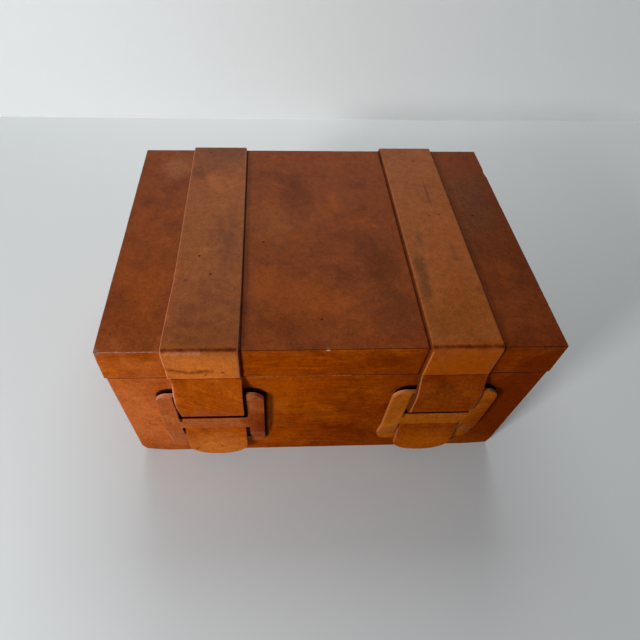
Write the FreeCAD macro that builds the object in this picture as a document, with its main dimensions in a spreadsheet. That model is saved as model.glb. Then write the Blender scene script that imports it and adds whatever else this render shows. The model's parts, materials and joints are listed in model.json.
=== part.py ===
import FreeCAD, Part
import os

import Sketcher

# A leather-covered wooden box with a hinged lid, two straps and two slotted leather buckle plates.
# Millimetres, +Z up, front towards -Y, origin in the middle of the underside.

# Driving dimensions: alias, value, meaning.
SIZES = (
    ("box_width", "254.0", "width over the lid's leather"),
    ("box_depth", "187.0", "depth over the leather, without straps"),
    ("base_height", "104.0", "table to the middle of the seam, where the hinge pins lie"),
    ("lid_height", "24.5", "middle of the seam to the leather on top"),
    ("seam_gap", "0.3", "gap between the rims of lid and base"),
    ("lid_overhang", "0.5", "lid wider than base, each side"),
    ("cover_leather", "1.5", "thickness of the covering leather"),
    ("cover_edge_radius", "1.5", "rounding of the covers' outer edges"),
    ("base_turn_in", "10.0", "leather turned down inside the base's rim"),
    ("lid_turn_in", "6.0", "leather turned up inside the lid's rim"),
    ("turn_under", "12.0", "leather turned under the base"),
    ("underside_gap", "0.3", "gap round the sheet under the base"),
    ("wall_board", "8.0", "thickness of the wall boards and lid rails"),
    ("floor_board", "6.0", "thickness of the floor board"),
    ("lid_board", "6.0", "thickness of the lid's top board"),
    ("corner_rabbet", "4.0", "how far side boards enter the front and back boards"),
    ("floor_rabbet", "4.0", "how far the floor board enters the walls"),
    ("lining", "1.0", "thickness of lining and turned-in leather"),
    ("pad", "2.0", "thickness of the floor pad and lid pad"),
    ("strap_width", "39.8", "width of the straps"),
    ("strap_leather", "2.4", "thickness of the straps"),
    ("strap_inset", "55.6", "side of the lid to the middle of a strap"),
    ("back_strap_foot", "2.5", "height of the back strap's lower end"),
    ("bend_radius", "1.0", "inner radius of the strap tail's bends"),
    ("plate_width", "64.5", "width of a buckle plate"),
    ("plate_leather", "2.4", "thickness of a buckle plate"),
    ("plate_foot", "19.0", "height of the plate's lower edge"),
    ("plate_drop", "15.5", "seam to the plate's upper edge"),
    ("plate_corner_radius", "8.0", "rounding of the plate's corners"),
    ("bar_rise", "27.5", "plate's lower edge to the bar between the slots"),
    ("bar_height", "15.0", "height of that bar"),
    ("slot_play", "0.4", "clearance of the strap in the slots"),
    ("slot_end_play", "1.2", "clearance at the slots' ends"),
    ("lift_run", "11.0", "height over which the tail rises on to the plate"),
    ("dive_run", "5.0", "height over which the tail goes in at the upper slot"),
    ("climb_run", "4.0", "height over which the tail comes out at the lower slot"),
    ("lean_flat", "3.0", "straight length of the tail under the lower slot"),
    ("lean_out", "2.6", "how far the tip leans out"),
    ("tip_foot", "9.8", "height of the tail's tip"),
    ("tip_round_share", "0.43", "rounding of the tip, of the strap's width"),
    ("hinge_inset", "19.0", "side of the lid to the middle of a hinge"),
    ("hinge_length", "24.0", "length of a hinge"),
    ("hinge_leaf", "1.2", "thickness of a hinge leaf"),
    ("hinge_standoff", "1.2", "pin's axis beyond the back leather"),
    ("hinge_play", "0.3", "clearance round a hinge"),
    ("knuckle_radius", "1.9", "outer radius of the knuckles"),
    ("knuckle_play", "0.2", "gap between neighbouring knuckles"),
    ("pin_radius", "1.0", "radius of the pins"),
    ("pin_play", "0.05", "clearance of a pin in its knuckles"),
    ("stop_angle", "107.0", "opening at which the back straps' ends meet"),
    ("screw_pitch", "13.0", "distance between a leaf's screws"),
    ("screw_length", "9.0", "length of a screw over its head"),
    ("screw_radius", "0.8", "radius of a screw's shank"),
    ("screw_head_radius", "1.6", "radius of a screw's head"),
    ("screw_head", "0.9", "height of a screw's countersunk head"),
    ("overrun", "2.0", "how far a cut runs past what it cuts"),
)

KNUCKLES = 5

# Positions worked out from the sizes: half widths and depths end in _x and _y, heights in _z.
PLACES = (
    ("lid_x", "Size.box_width / 2"),
    ("base_x", "lid_x - Size.lid_overhang"),
    ("back_y", "Size.box_depth / 2"),
    ("board_x", "base_x - Size.cover_leather"),
    ("lid_board_x", "lid_x - Size.cover_leather"),
    ("board_y", "back_y - Size.cover_leather"),
    ("room_x", "board_x - Size.wall_board"),
    ("lid_room_x", "lid_board_x - Size.wall_board"),
    ("room_y", "board_y - Size.wall_board"),
    ("rabbet_y", "room_y + Size.corner_rabbet"),
    ("base_rim_z", "Size.base_height - Size.seam_gap / 2"),
    ("base_board_z", "base_rim_z - Size.cover_leather"),
    ("base_lip_z", "base_board_z - Size.base_turn_in"),
    ("floor_z", "Size.cover_leather + Size.floor_board"),
    ("lid_rim_z", "Size.base_height + Size.seam_gap / 2"),
    ("lid_board_z", "lid_rim_z + Size.cover_leather"),
    ("lid_lip_z", "lid_board_z + Size.lid_turn_in"),
    ("lid_top_z", "Size.base_height + Size.lid_height"),
    ("lid_panel_z", "lid_top_z - Size.cover_leather"),
    ("lid_rail_z", "lid_panel_z - Size.lid_board"),
    ("strap_x", "lid_x - Size.strap_inset"),
    ("hinge_x", "lid_x - Size.hinge_inset"),
    ("axis_y", "back_y + Size.hinge_standoff"),
    ("leaf_y", "axis_y - Size.knuckle_radius - Size.hinge_play"),
    ("screw_y", "board_y - Size.wall_board / 2"),
    ("knuckle_pitch", f"Size.hinge_length / {KNUCKLES}"),
    ("strap_stop", "(Size.strap_leather - Size.hinge_standoff) * tan(Size.stop_angle / 2)"),
    ("over_plate", "Size.strap_leather + Size.plate_leather"),
    ("plate_top_z", "Size.base_height - Size.plate_drop"),
    ("bar_z", "Size.plate_foot + Size.bar_rise"),
    ("bar_top_z", "bar_z + Size.bar_height"),
    ("lift_end_z", "plate_top_z + Size.slot_play"),
    ("lift_start_z", "lift_end_z + Size.lift_run"),
    ("lift_slant", "sqrt(over_plate^2 + Size.lift_run^2)"),
    ("lift_mitre", "Size.strap_leather * over_plate / (Size.lift_run + lift_slant)"),
    ("dive_slant", "sqrt(over_plate^2 + Size.dive_run^2)"),
    ("dive_mitre", "Size.strap_leather * over_plate / (Size.dive_run + dive_slant)"),
    ("dive_end_z", "bar_top_z + dive_mitre + Size.slot_play"),
    ("dive_start_z", "dive_end_z + Size.dive_run"),
    ("upper_slot_z", "dive_start_z + Size.slot_play"),
    ("climb_slant", "sqrt(Size.plate_leather^2 + Size.climb_run^2)"),
    ("climb_mitre", "Size.strap_leather * Size.plate_leather / (Size.climb_run + climb_slant)"),
    ("climb_start_z", "bar_z - climb_mitre - Size.slot_play"),
    ("climb_end_z", "climb_start_z - Size.climb_run"),
    ("lower_slot_z", "climb_end_z - Size.slot_play"),
    ("lean_start_z", "climb_end_z - Size.lean_flat"),
    ("lean_run", "lean_start_z - Size.tip_foot"),
    ("lean_slant", "sqrt(Size.lean_out^2 + lean_run^2)"),
    ("lean_mitre", "Size.strap_leather * Size.lean_out / (lean_run + lean_slant)"),
    ("plate_bend_z", "lower_slot_z + Size.plate_leather / 3"),
    ("plate_bend_run", "bar_z - plate_bend_z"),
    ("plate_bend_slant", "sqrt(Size.strap_leather^2 + plate_bend_run^2)"),
    ("plate_mitre", "Size.plate_leather * Size.strap_leather / (plate_bend_run + plate_bend_slant)"),
    ("slot_length", "Size.strap_width + 2 * Size.slot_end_play"),
)

SIDES = {"left": "-1", "right": "1"}
SAME_PLACE = 1e-6

doc = FreeCAD.newDocument("leather_box")
subparts = []


def fill_sheet(name, rows):
    """A spreadsheet with one alias per row."""
    sheet = doc.addObject("Spreadsheet::Sheet", name)
    for number, row in enumerate(rows, start=1):
        cell = f"B{number}"
        sheet.set(f"A{number}", row[0])
        sheet.set(cell, row[1])
        sheet.setAlias(cell, row[0])
        if len(row) > 2:
            sheet.set(f"C{number}", row[2])
    return sheet


sizes = fill_sheet("Size", SIZES)
places = fill_sheet("Place", [(alias, "=" + formula) for alias, formula in PLACES])
doc.recompute()


def value(expression):
    """What an expression comes to now."""
    return float(places.evalExpression(expression))


def bind(obj, **expressions):
    """Bind properties to expressions; a double underscore in a name stands for a dot."""
    for name, expression in expressions.items():
        obj.setExpression(name.replace("__", "."), expression)
    return obj


def shift(obj, x="0", y="0", z="0"):
    """Bind an object's place."""
    return bind(obj, Placement__Base__x=x, Placement__Base__y=y, Placement__Base__z=z)


def subpart(obj, label):
    """Name an object as one of the box's own pieces."""
    obj.Label = label
    subparts.append(obj)
    return obj


def block(name, x, y, z):
    """A Part::Box between two expressions along each axis."""
    box = doc.addObject("Part::Box", name)
    bind(box, Length=f"({x[1]}) - ({x[0]})", Width=f"({y[1]}) - ({y[0]})", Height=f"({z[1]}) - ({z[0]})")
    return shift(box, x[0], y[0], z[0])


def centred_block(name, half_x, half_y, z):
    """A Part::Box about the middle of the box."""
    return block(name, (f"-({half_x})", half_x), (f"-({half_y})", half_y), z)


def rod(name, radius, length, x, y, z, along_x=False):
    """A Part::Cylinder from a point along +Z, or along +X."""
    cylinder = doc.addObject("Part::Cylinder", name)
    if along_x:
        cylinder.Placement.Rotation = FreeCAD.Rotation(FreeCAD.Vector(0, 1, 0), 90)
    bind(cylinder, Radius=radius, Height=length)
    return shift(cylinder, x, y, z)


def fuse(name, shapes):
    """The union of several objects."""
    union = doc.addObject("Part::MultiFuse", name)
    union.Shapes = shapes
    return union


def cut(name, base, tools):
    """One object less several others."""
    result = doc.addObject("Part::Cut", name)
    result.Base = base
    result.Tool = tools[0] if len(tools) == 1 else fuse(name + "_tools", tools)
    return result


def new_body(name):
    """An empty PartDesign body."""
    return doc.addObject("PartDesign::Body", name)


def sketch_on(body, name, role, offset="0"):
    """A sketch on one of a body's origin planes, moved along the plane's normal."""
    plane = next(feature for feature in body.Origin.OriginFeatures if feature.Role == role)
    sketch = body.newObject("Sketcher::SketchObject", name)
    sketch.AttachmentSupport = [(plane, "")]
    sketch.MapMode = "FlatFace"
    sketch.setExpression("AttachmentOffset.Base.z", offset)
    return sketch


def polygon(sketch, points):
    """Add a closed outline whose corners are bound to pairs of expressions."""
    first = sketch.GeometryCount
    count = len(points)
    corners = [FreeCAD.Vector(value(across), value(up), 0) for across, up in points]
    for number in range(count):
        sketch.addGeometry(Part.LineSegment(corners[number], corners[(number + 1) % count]), False)
    for number in range(count):
        following = first + (number + 1) % count
        sketch.addConstraint(Sketcher.Constraint("Coincident", first + number, 2, following, 1))
    for number, point in enumerate(points):
        pin_corner(sketch, first + number, point, corners[number])


def pin_corner(sketch, line, point, corner):
    """Hold the start of a line at a pair of expressions."""
    for kind, expression, distance, axis in (("DistanceX", point[0], corner.x, -2),
                                             ("DistanceY", point[1], corner.y, -1)):
        if abs(distance) < SAME_PLACE:
            sketch.addConstraint(Sketcher.Constraint("PointOnObject", line, 1, axis))
            continue
        name = f"{kind}_{line}"
        number = sketch.addConstraint(Sketcher.Constraint(kind, -1, 1, line, 1, distance))
        sketch.renameConstraint(number, name)
        sketch.setExpression("Constraints." + name, expression)


def rectangle(sketch, half_x, half_y):
    """Add a rectangle about the sketch's origin."""
    polygon(sketch, ((f"-({half_x})", f"-({half_y})"), (half_x, f"-({half_y})"), (half_x, half_y),
                     (f"-({half_x})", half_y)))


def extrude(body, kind, sketch, length, symmetric=False, reverse=False):
    """A Pad or Pocket of a sketch, checked to add or take material."""
    before = body.Shape.Volume if body.Tip else 0.0
    feature = body.newObject("PartDesign::" + kind, f"{sketch.Name}_{kind.lower()}")
    feature.Profile = sketch
    feature.SideType = "Symmetric" if symmetric else "One side"
    feature.Reversed = reverse
    feature.setExpression("Length", length)
    doc.recompute()
    change = body.Shape.Volume - before
    if change * (1 if kind == "Pad" else -1) <= 0:
        raise RuntimeError(f"{feature.Name} changed nothing")
    return feature


def round_edges(body, name, radius, chosen):
    """Fillet the edges of a body's tip whose middle and direction the test accepts."""
    base = body.Tip
    names = []
    for number, edge in enumerate(base.Shape.Edges, start=1):
        middle = edge.valueAt((edge.FirstParameter + edge.LastParameter) / 2)
        ends = edge.Vertexes[-1].Point - edge.Vertexes[0].Point
        if ends.Length > SAME_PLACE and chosen(middle, ends.normalize()):
            names.append(f"Edge{number}")
    fillet = body.newObject("PartDesign::Fillet", name)
    fillet.Base = (base, names)
    fillet.setExpression("Radius", radius)
    doc.recompute()
    return fillet


def at_corner(points):
    """A test for edges along X through any of the given side-view points."""
    corners = [(value(y), value(z)) for y, z in points]

    def chosen(middle, direction):
        near = any(abs(middle.y - y) < SAME_PLACE and abs(middle.z - z) < SAME_PLACE for y, z in corners)
        return near and abs(direction.x) > 1 - SAME_PLACE

    return chosen


# Screws of the hinges. Each leaf and board is cut by the screws that hold it.

def make_screws(label, head_z, downwards):
    """Four countersunk screws with their heads flush at a height."""
    screws = []
    for side, way in SIDES.items():
        for number, step in enumerate(("-0.5", "0.5")):
            name = f"{label}_{side}_{number}"
            x = f"{way} * Place.hinge_x + ({step}) * Size.screw_pitch"
            head = doc.addObject("Part::Cone", name + "_head")
            bind(head, Height="Size.screw_head")
            if downwards:
                bind(head, Radius1="Size.screw_radius", Radius2="Size.screw_head_radius")
                shift(head, x, "Place.screw_y", f"{head_z} - Size.screw_head")
                low = f"{head_z} - Size.screw_length"
            else:
                bind(head, Radius1="Size.screw_head_radius", Radius2="Size.screw_radius")
                shift(head, x, "Place.screw_y", head_z)
                low = f"{head_z} + Size.screw_head"
            shank = rod(name + "_shank", "Size.screw_radius", "Size.screw_length - Size.screw_head",
                        x, "Place.screw_y", low)
            screws.append(fuse(name, [head, shank]))
    group = doc.addObject("Part::Compound", label)
    group.Links = screws
    subpart(group, label)
    return screws


base_head_z = "Place.base_board_z + Size.hinge_leaf"
lid_head_z = "Place.lid_board_z - Size.hinge_leaf"
base_screws = make_screws("hinge_screws_base", base_head_z, True)
lid_screws = make_screws("hinge_screws_lid", lid_head_z, False)


# Room for the hinges in the covers: the leaves' seats across the rims, and round the knuckles.

def hinge_x(side, share):
    """A place along a hinge, as a share of its length from its middle."""
    return f"{SIDES[side]} * Place.hinge_x + ({share}) * Size.hinge_length"


def make_hinge_room(name, seat_z):
    """The space that both hinges take out of a cover."""
    spaces = []
    for side in SIDES:
        low = hinge_x(side, "-0.5") + " - Size.hinge_play"
        high = hinge_x(side, "0.5") + " + Size.hinge_play"
        seat_y = ("Place.room_y", "Place.back_y + Size.overrun")
        spaces.append(block(f"{name}_{side}_seat", (low, high), seat_y, seat_z))
        spaces.append(rod(f"{name}_{side}_barrel", "Size.knuckle_radius + Size.hinge_play",
                          f"({high}) - ({low})", low, "Place.axis_y", "Size.base_height", along_x=True))
    return fuse(name, spaces)


base_seat_z = ("Place.base_board_z", "Place.base_rim_z + Size.overrun")
lid_seat_z = ("Place.lid_rim_z - Size.overrun", "Place.lid_board_z")
base_hinge_room = make_hinge_room("base_hinge_room", base_seat_z)
lid_hinge_room = make_hinge_room("lid_hinge_room", lid_seat_z)


# Wooden carcass: side boards set into rabbets of the front and back boards, floor set into all four.

def make_frame(prefix, piece, outer_x, inner_x, z, floor, screws):
    """Four walls of the base or of the lid."""
    seats = [floor] if floor else []
    walls = {}
    for side, way in SIDES.items():
        ends = sorted((f"{way} * {outer_x}", f"{way} * {inner_x}"), key=value)
        blank = block(f"{prefix}_{side}_blank", ends, ("-Place.rabbet_y", "Place.rabbet_y"), z)
        walls[side] = cut(f"{prefix}_{side}_wall", blank, seats) if seats else blank
        subpart(walls[side], f"{prefix}_{side}_{piece}")
    seats = seats + list(walls.values())
    whole_x = (f"-{outer_x}", outer_x)
    front = block(f"{prefix}_front_blank", whole_x, ("-Place.board_y", "-Place.room_y"), z)
    subpart(cut(f"{prefix}_front_wall", front, seats), f"{prefix}_front_{piece}")
    back = block(f"{prefix}_back_blank", whole_x, ("Place.room_y", "Place.board_y"), z)
    subpart(cut(f"{prefix}_back_wall", back, seats + screws), f"{prefix}_back_{piece}")


floor_board = centred_block("floor_board", "Place.room_x + Size.floor_rabbet",
                            "Place.room_y + Size.floor_rabbet", ("Size.cover_leather", "Place.floor_z"))
subpart(floor_board, "base_floor_board")
make_frame("base", "board", "Place.board_x", "Place.room_x", ("Size.cover_leather", "Place.base_board_z"),
           floor_board, base_screws)
lid_panel_heights = ("Place.lid_rail_z", "Place.lid_panel_z")
subpart(centred_block("lid_panel", "Place.lid_board_x", "Place.board_y", lid_panel_heights), "lid_top_board")
make_frame("lid", "rail", "Place.lid_board_x", "Place.lid_room_x", ("Place.lid_board_z", "Place.lid_rail_z"),
           None, lid_screws)


# Leather covers: a shell over the boards, turned in over the rims, and under the base.

def make_cover(prefix, outer_x, board_x, room_x, outer_z, board_z, rim_up):
    """The leather over the base, or over the lid when its rim faces down."""
    body = new_body(prefix + "_cover_shell")
    skin = sketch_on(body, prefix + "_skin", "XY_Plane", outer_z[0])
    rectangle(skin, outer_x, "Place.back_y")
    extrude(body, "Pad", skin, f"({outer_z[1]}) - ({outer_z[0]})")
    closed_z = value(outer_z[0] if rim_up else outer_z[1])
    rim_z = outer_z[1] if rim_up else outer_z[0]

    def outer_edge(middle, direction):
        return abs(direction.z) > 1 - SAME_PLACE or abs(middle.z - closed_z) < SAME_PLACE

    round_edges(body, prefix + "_soft_edges", "Size.cover_edge_radius", outer_edge)
    wood = sketch_on(body, prefix + "_wood", "XY_Plane", board_z[0])
    rectangle(wood, board_x, "Place.board_y")
    extrude(body, "Pocket", wood, f"({board_z[1]}) - ({board_z[0]})", reverse=True)
    inner = (f"{room_x} - Size.lining", "Place.room_y - Size.lining")
    lip = sketch_on(body, prefix + "_lip", "XY_Plane", board_z[1] if rim_up else board_z[0])
    rectangle(lip, room_x, "Place.room_y")
    rectangle(lip, *inner)
    extrude(body, "Pad", lip, f"Size.{prefix}_turn_in", reverse=rim_up)
    mouth = sketch_on(body, prefix + "_mouth", "XY_Plane", rim_z)
    rectangle(mouth, *inner)
    extrude(body, "Pocket", mouth, "Size.cover_leather", reverse=not rim_up)
    return body


base_shell = make_cover("base", "Place.base_x", "Place.board_x", "Place.room_x", ("0", "Place.base_rim_z"),
                        ("Size.cover_leather", "Place.base_board_z"), True)
under = sketch_on(base_shell, "base_under", "XY_Plane")
rectangle(under, "Place.base_x - Size.turn_under", "Place.back_y - Size.turn_under")
extrude(base_shell, "Pocket", under, "Size.cover_leather", reverse=True)
subpart(cut("base_cover", base_shell, [base_hinge_room]), "base_leather_cover")

lid_shell = make_cover("lid", "Place.lid_x", "Place.lid_board_x", "Place.lid_room_x",
                       ("Place.lid_rim_z", "Place.lid_top_z"),
                       ("Place.lid_board_z", "Place.lid_panel_z"), False)
subpart(cut("lid_cover", lid_shell, [lid_hinge_room]), "lid_leather_cover")

under_margin = "Size.turn_under - Size.underside_gap"
subpart(centred_block("underside", f"Place.base_x - {under_margin}", f"Place.back_y - {under_margin}",
                      ("0", "Size.cover_leather")), "base_underside")


# Linings: four wall pieces and a pad in the base and in the lid.

def make_lining(prefix, room_x, wall_z, pad_name, pad_z):
    """Lining of the base or of the lid."""
    front_y = ("-Place.room_y", "-Place.room_y + Size.lining")
    back_y = ("Place.room_y - Size.lining", "Place.room_y")
    inner_x = f"{room_x} - Size.lining"
    inner_y = "Place.room_y - Size.lining"
    whole_x = (f"-{room_x}", room_x)
    subpart(block(f"{prefix}_lining_f", whole_x, front_y, wall_z), f"{prefix}_lining_front")
    subpart(block(f"{prefix}_lining_b", whole_x, back_y, wall_z), f"{prefix}_lining_back")
    for side, way in SIDES.items():
        ends = sorted((f"{way} * ({inner_x})", f"{way} * {room_x}"), key=value)
        subpart(block(f"{prefix}_lining_{side[0]}", ends, (f"-({inner_y})", inner_y), wall_z),
                f"{prefix}_lining_{side}")
    subpart(centred_block(f"{prefix}_pad", inner_x, inner_y, pad_z), pad_name)


make_lining("base", "Place.room_x", ("Place.floor_z", "Place.base_lip_z"), "base_floor_pad",
            ("Place.floor_z", "Place.floor_z + Size.pad"))
make_lining("lid", "Place.lid_room_x", ("Place.lid_lip_z", "Place.lid_rail_z"), "lid_pad",
            ("Place.lid_rail_z - Size.pad", "Place.lid_rail_z"))


# Straps and buckle plates. The front is towards -Y: a height off the front lies at -back_y less that height.

def off_front(height):
    """The place of a height off the base's front."""
    return f"-Place.back_y - ({height})"


def upper_face(under_face, thickness, mitres):
    """Side-view points of a leather's outer face, each moved along by its mitre."""
    points = []
    for (height, z), mitre in zip(under_face, mitres):
        points.append((off_front(f"{height} + {thickness}"), f"{z} + ({mitre})"))
    return points


def side_pad(name, points, width):
    """A body with a side-view outline, as wide as given about its middle."""
    body = new_body(name)
    outline = sketch_on(body, name + "_side", "YZ_Plane")
    polygon(outline, points)
    extrude(body, "Pad", outline, width, symmetric=True)
    return body


def make_lid_strap(side):
    """Over the lid from its front rim to just over the hinge line at the back."""
    front, back = "-Place.back_y", "Place.back_y"
    front_out, back_out = off_front("Size.strap_leather"), "Place.back_y + Size.strap_leather"
    top, top_out = "Place.lid_top_z", "Place.lid_top_z + Size.strap_leather"
    end = "Size.base_height + Place.strap_stop"
    points = ((front_out, "Place.lid_rim_z"), (front_out, top_out), (back_out, top_out), (back_out, end),
              (back, end), (back, top), (front, top), (front, "Place.lid_rim_z"))
    body = side_pad(f"lid_strap_{side}_body", points, "Size.strap_width")
    round_edges(body, f"lid_strap_{side}_inner", "Size.cover_edge_radius", at_corner(points[5:7]))
    round_edges(body, f"lid_strap_{side}_outer", "Size.cover_edge_radius + Size.strap_leather",
                at_corner(points[1:3]))
    shift(body, f"{SIDES[side]} * Place.strap_x")
    subpart(body, f"lid_strap_{side}")


def make_back_strap(side):
    """Down the back of the base."""
    middle = f"{SIDES[side]} * Place.strap_x"
    ends = (f"{middle} - Size.strap_width / 2", f"{middle} + Size.strap_width / 2")
    strip = block(f"back_strip_{side}", ends, ("Place.back_y", "Place.back_y + Size.strap_leather"),
                  ("Size.back_strap_foot", "Size.base_height - Place.strap_stop"))
    subpart(strip, f"back_strap_{side}")


def make_strap_tail(side):
    """From the seam over the plate, in at its upper slot, behind its bar and out at the lower slot."""
    strap, plate, over = "Size.strap_leather", "Size.plate_leather", "Place.over_plate"
    under_face = (("0", "Place.base_rim_z"), ("0", "Place.lift_start_z"), (over, "Place.lift_end_z"),
                  (over, "Place.dive_start_z"), ("0", "Place.dive_end_z"), ("0", "Place.climb_start_z"),
                  (plate, "Place.climb_end_z"), (plate, "Place.lean_start_z"),
                  (f"{plate} + Size.lean_out", "Size.tip_foot"))
    mitres = ("0", "Place.lift_mitre", "Place.lift_mitre", "-Place.dive_mitre", "-Place.dive_mitre",
              "Place.climb_mitre", "Place.climb_mitre", "Place.lean_mitre", "0")
    under = [(off_front(height), z) for height, z in under_face]
    upper = upper_face(under_face, strap, mitres)
    body = side_pad(f"strap_tail_{side}_body", under + upper[::-1], "Size.strap_width")
    hollow = [upper[1], under[2], under[3], upper[4], upper[5], under[6]]
    crown = [under[1], upper[2], upper[3], under[4], under[5], upper[6]]
    round_edges(body, f"strap_tail_{side}_hollows", "Size.bend_radius", at_corner(hollow))
    round_edges(body, f"strap_tail_{side}_crowns", f"Size.bend_radius + {strap}", at_corner(crown))
    tip_z = value("Size.tip_foot")

    def tip_corner(middle, direction):
        return abs(middle.z - tip_z) < SAME_PLACE and abs(direction.x) < SAME_PLACE

    round_edges(body, f"strap_tail_{side}_tip", "Size.tip_round_share * Size.strap_width", tip_corner)
    shift(body, f"{SIDES[side]} * Place.strap_x")
    subpart(body, f"strap_tail_{side}")


def make_plate(side):
    """Low on the front, bent out at the lower slot to stand over the strap that passes behind its bar."""
    strap, plate = "Size.strap_leather", "Size.plate_leather"
    under_face = (("0", "Size.plate_foot"), ("0", "Place.plate_bend_z"), (strap, "Place.bar_z"),
                  (strap, "Place.plate_top_z"))
    mitres = ("0", "-Place.plate_mitre", "-Place.plate_mitre", "0")
    under = [(off_front(height), z) for height, z in under_face]
    upper = upper_face(under_face, plate, mitres)
    body = side_pad(f"buckle_plate_{side}_body", under + upper[::-1], "Size.plate_width")
    ends = (value("Size.plate_foot"), value("Place.plate_top_z"))

    def corner(middle, direction):
        return abs(direction.y) > 1 - SAME_PLACE and min(abs(middle.z - end) for end in ends) < SAME_PLACE

    round_edges(body, f"buckle_plate_{side}_corners", "Size.plate_corner_radius", corner)
    half = "Place.slot_length / 2"
    for name, low, high in (("upper", "Place.bar_top_z", "Place.upper_slot_z"),
                            ("lower", "Place.lower_slot_z", "Place.bar_z")):
        slot = sketch_on(body, f"buckle_plate_{side}_{name}_slot", "XZ_Plane", "Place.back_y - Size.overrun")
        polygon(slot, ((f"-{half}", low), (half, low), (half, high), (f"-{half}", high)))
        extrude(body, "Pocket", slot, "Place.over_plate + 2 * Size.overrun", reverse=True)
    shift(body, f"{SIDES[side]} * Place.strap_x")
    subpart(body, f"buckle_plate_{side}")


for side in SIDES:
    make_lid_strap(side)
    make_back_strap(side)
    make_strap_tail(side)
    make_plate(side)


# Hinges: a leaf on each rim's board, knuckles by turns on the base's leaf and the lid's, and a pin.

def make_leaf(side, label, leaf_z, numbers, screws):
    """One hinge leaf with its knuckles."""
    name = f"{label}_{side}"
    whole_x = (hinge_x(side, "-0.5"), hinge_x(side, "0.5"))
    pieces = [block(name + "_flat", whole_x, ("Place.room_y", "Place.leaf_y"), leaf_z)]
    for number in numbers:
        low = f"{whole_x[0]} + {number} * Place.knuckle_pitch + Size.knuckle_play / 2"
        width = "Place.knuckle_pitch - Size.knuckle_play"
        pieces.append(block(f"{name}_tab_{number}", (low, f"{low} + {width}"),
                            ("Place.leaf_y", "Place.axis_y"), leaf_z))
        pieces.append(rod(f"{name}_knuckle_{number}", "Size.knuckle_radius", width, low, "Place.axis_y",
                          "Size.base_height", along_x=True))
    bore = rod(name + "_bore", "Size.pin_radius + Size.pin_play", "Size.hinge_length + 2 * Size.overrun",
               f"{whole_x[0]} - Size.overrun", "Place.axis_y", "Size.base_height", along_x=True)
    leaf = cut(name + "_leaf", fuse(name + "_blank", pieces), [bore] + screws)
    subpart(leaf, name)


for side in SIDES:
    base_leaf_z = ("Place.base_board_z", base_head_z)
    lid_leaf_z = (lid_head_z, "Place.lid_board_z")
    make_leaf(side, "hinge_leaf_base", base_leaf_z, range(0, KNUCKLES, 2), base_screws)
    make_leaf(side, "hinge_leaf_lid", lid_leaf_z, range(1, KNUCKLES, 2), lid_screws)
    subpart(rod(f"pin_{side}", "Size.pin_radius", "Size.hinge_length", hinge_x(side, "-0.5"), "Place.axis_y",
                "Size.base_height", along_x=True), f"hinge_pin_{side}")

doc.recompute()
for obj in doc.Objects:
    if "Invalid" in obj.State or "Error" in obj.State:
        raise RuntimeError(f"{obj.Name} failed: {obj.State}")
for piece in subparts:
    if piece.Shape.isNull() or not piece.Shape.isValid() or not piece.Shape.Solids:
        raise RuntimeError(f"{piece.Label} has no sound shape")

os.makedirs("parts", exist_ok=True)
for piece in subparts:
    piece.Shape.exportStep(f"parts/{piece.Label}.step")
    print(f"{piece.Label}: {len(piece.Shape.Solids)} solids, {piece.Shape.Volume:.1f} mm3")
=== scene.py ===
import json
import logging
import math
from collections.abc import Callable, Iterable
from dataclasses import dataclass, field
from enum import Enum, StrEnum

import bmesh
import bpy
from mathutils import Matrix, Vector


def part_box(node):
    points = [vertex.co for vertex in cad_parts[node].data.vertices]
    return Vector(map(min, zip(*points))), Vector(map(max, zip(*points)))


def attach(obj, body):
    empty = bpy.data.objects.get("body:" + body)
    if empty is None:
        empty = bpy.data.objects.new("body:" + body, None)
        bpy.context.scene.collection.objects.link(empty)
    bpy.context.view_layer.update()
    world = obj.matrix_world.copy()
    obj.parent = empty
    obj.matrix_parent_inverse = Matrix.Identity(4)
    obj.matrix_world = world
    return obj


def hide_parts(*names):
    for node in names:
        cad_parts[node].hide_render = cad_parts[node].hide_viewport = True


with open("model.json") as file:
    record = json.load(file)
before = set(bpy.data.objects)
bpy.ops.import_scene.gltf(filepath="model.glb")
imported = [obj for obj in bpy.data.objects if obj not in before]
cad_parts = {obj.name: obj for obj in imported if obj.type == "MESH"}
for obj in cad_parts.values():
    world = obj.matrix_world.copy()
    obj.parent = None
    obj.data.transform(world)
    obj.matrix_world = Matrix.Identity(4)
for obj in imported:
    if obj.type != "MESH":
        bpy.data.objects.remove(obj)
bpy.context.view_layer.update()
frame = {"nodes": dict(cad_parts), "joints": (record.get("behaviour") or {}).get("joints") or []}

LOG = logging.getLogger("leather_box")
MM = 0.001
NEAR = 0.02 * MM  # places closer than this count as one
ALONG = 0.9  # least part of a unit vector along an axis that it counts as following
SHARP = math.radians(50)  # a sheet's edges sharper than this are rounded
SMOOTH = math.radians(40)  # edges flatter than this are shaded as one surface

Colour = tuple[float, float, float, float]
Triple = tuple[float, float, float]
Socket = bpy.types.NodeSocket
Test = Callable[[Vector, Vector], bool]


def tint(red: int, green: int, blue: int) -> Colour:
    """A colour as it looks on a screen, made linear.

    Args:
        red: Red, 0 to 255.
        green: Green, 0 to 255.
        blue: Blue, 0 to 255.

    Returns:
        Linear colour with full alpha.
    """
    def linear(level: int) -> float:
        """One channel made linear."""
        share = level / 255
        return share / 12.92 if share <= 0.04045 else ((share + 0.055) / 1.055) ** 2.4

    return linear(red), linear(green), linear(blue), 1.0


def metres(lengths: Iterable[float]) -> list[float]:
    """Lengths in millimetres, made metres."""
    return [length * MM for length in lengths]


class Side(StrEnum):
    """A side of the box, as it stands in names."""

    LEFT = "left"
    RIGHT = "right"


class Half(StrEnum):
    """A body of the box, as it stands in names."""

    BASE = "base"
    LID = "lid"


class Part(Enum):
    """What an edit-mode tool picks."""

    CORNER = 0
    EDGE = 1
    FACE = 2


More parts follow.
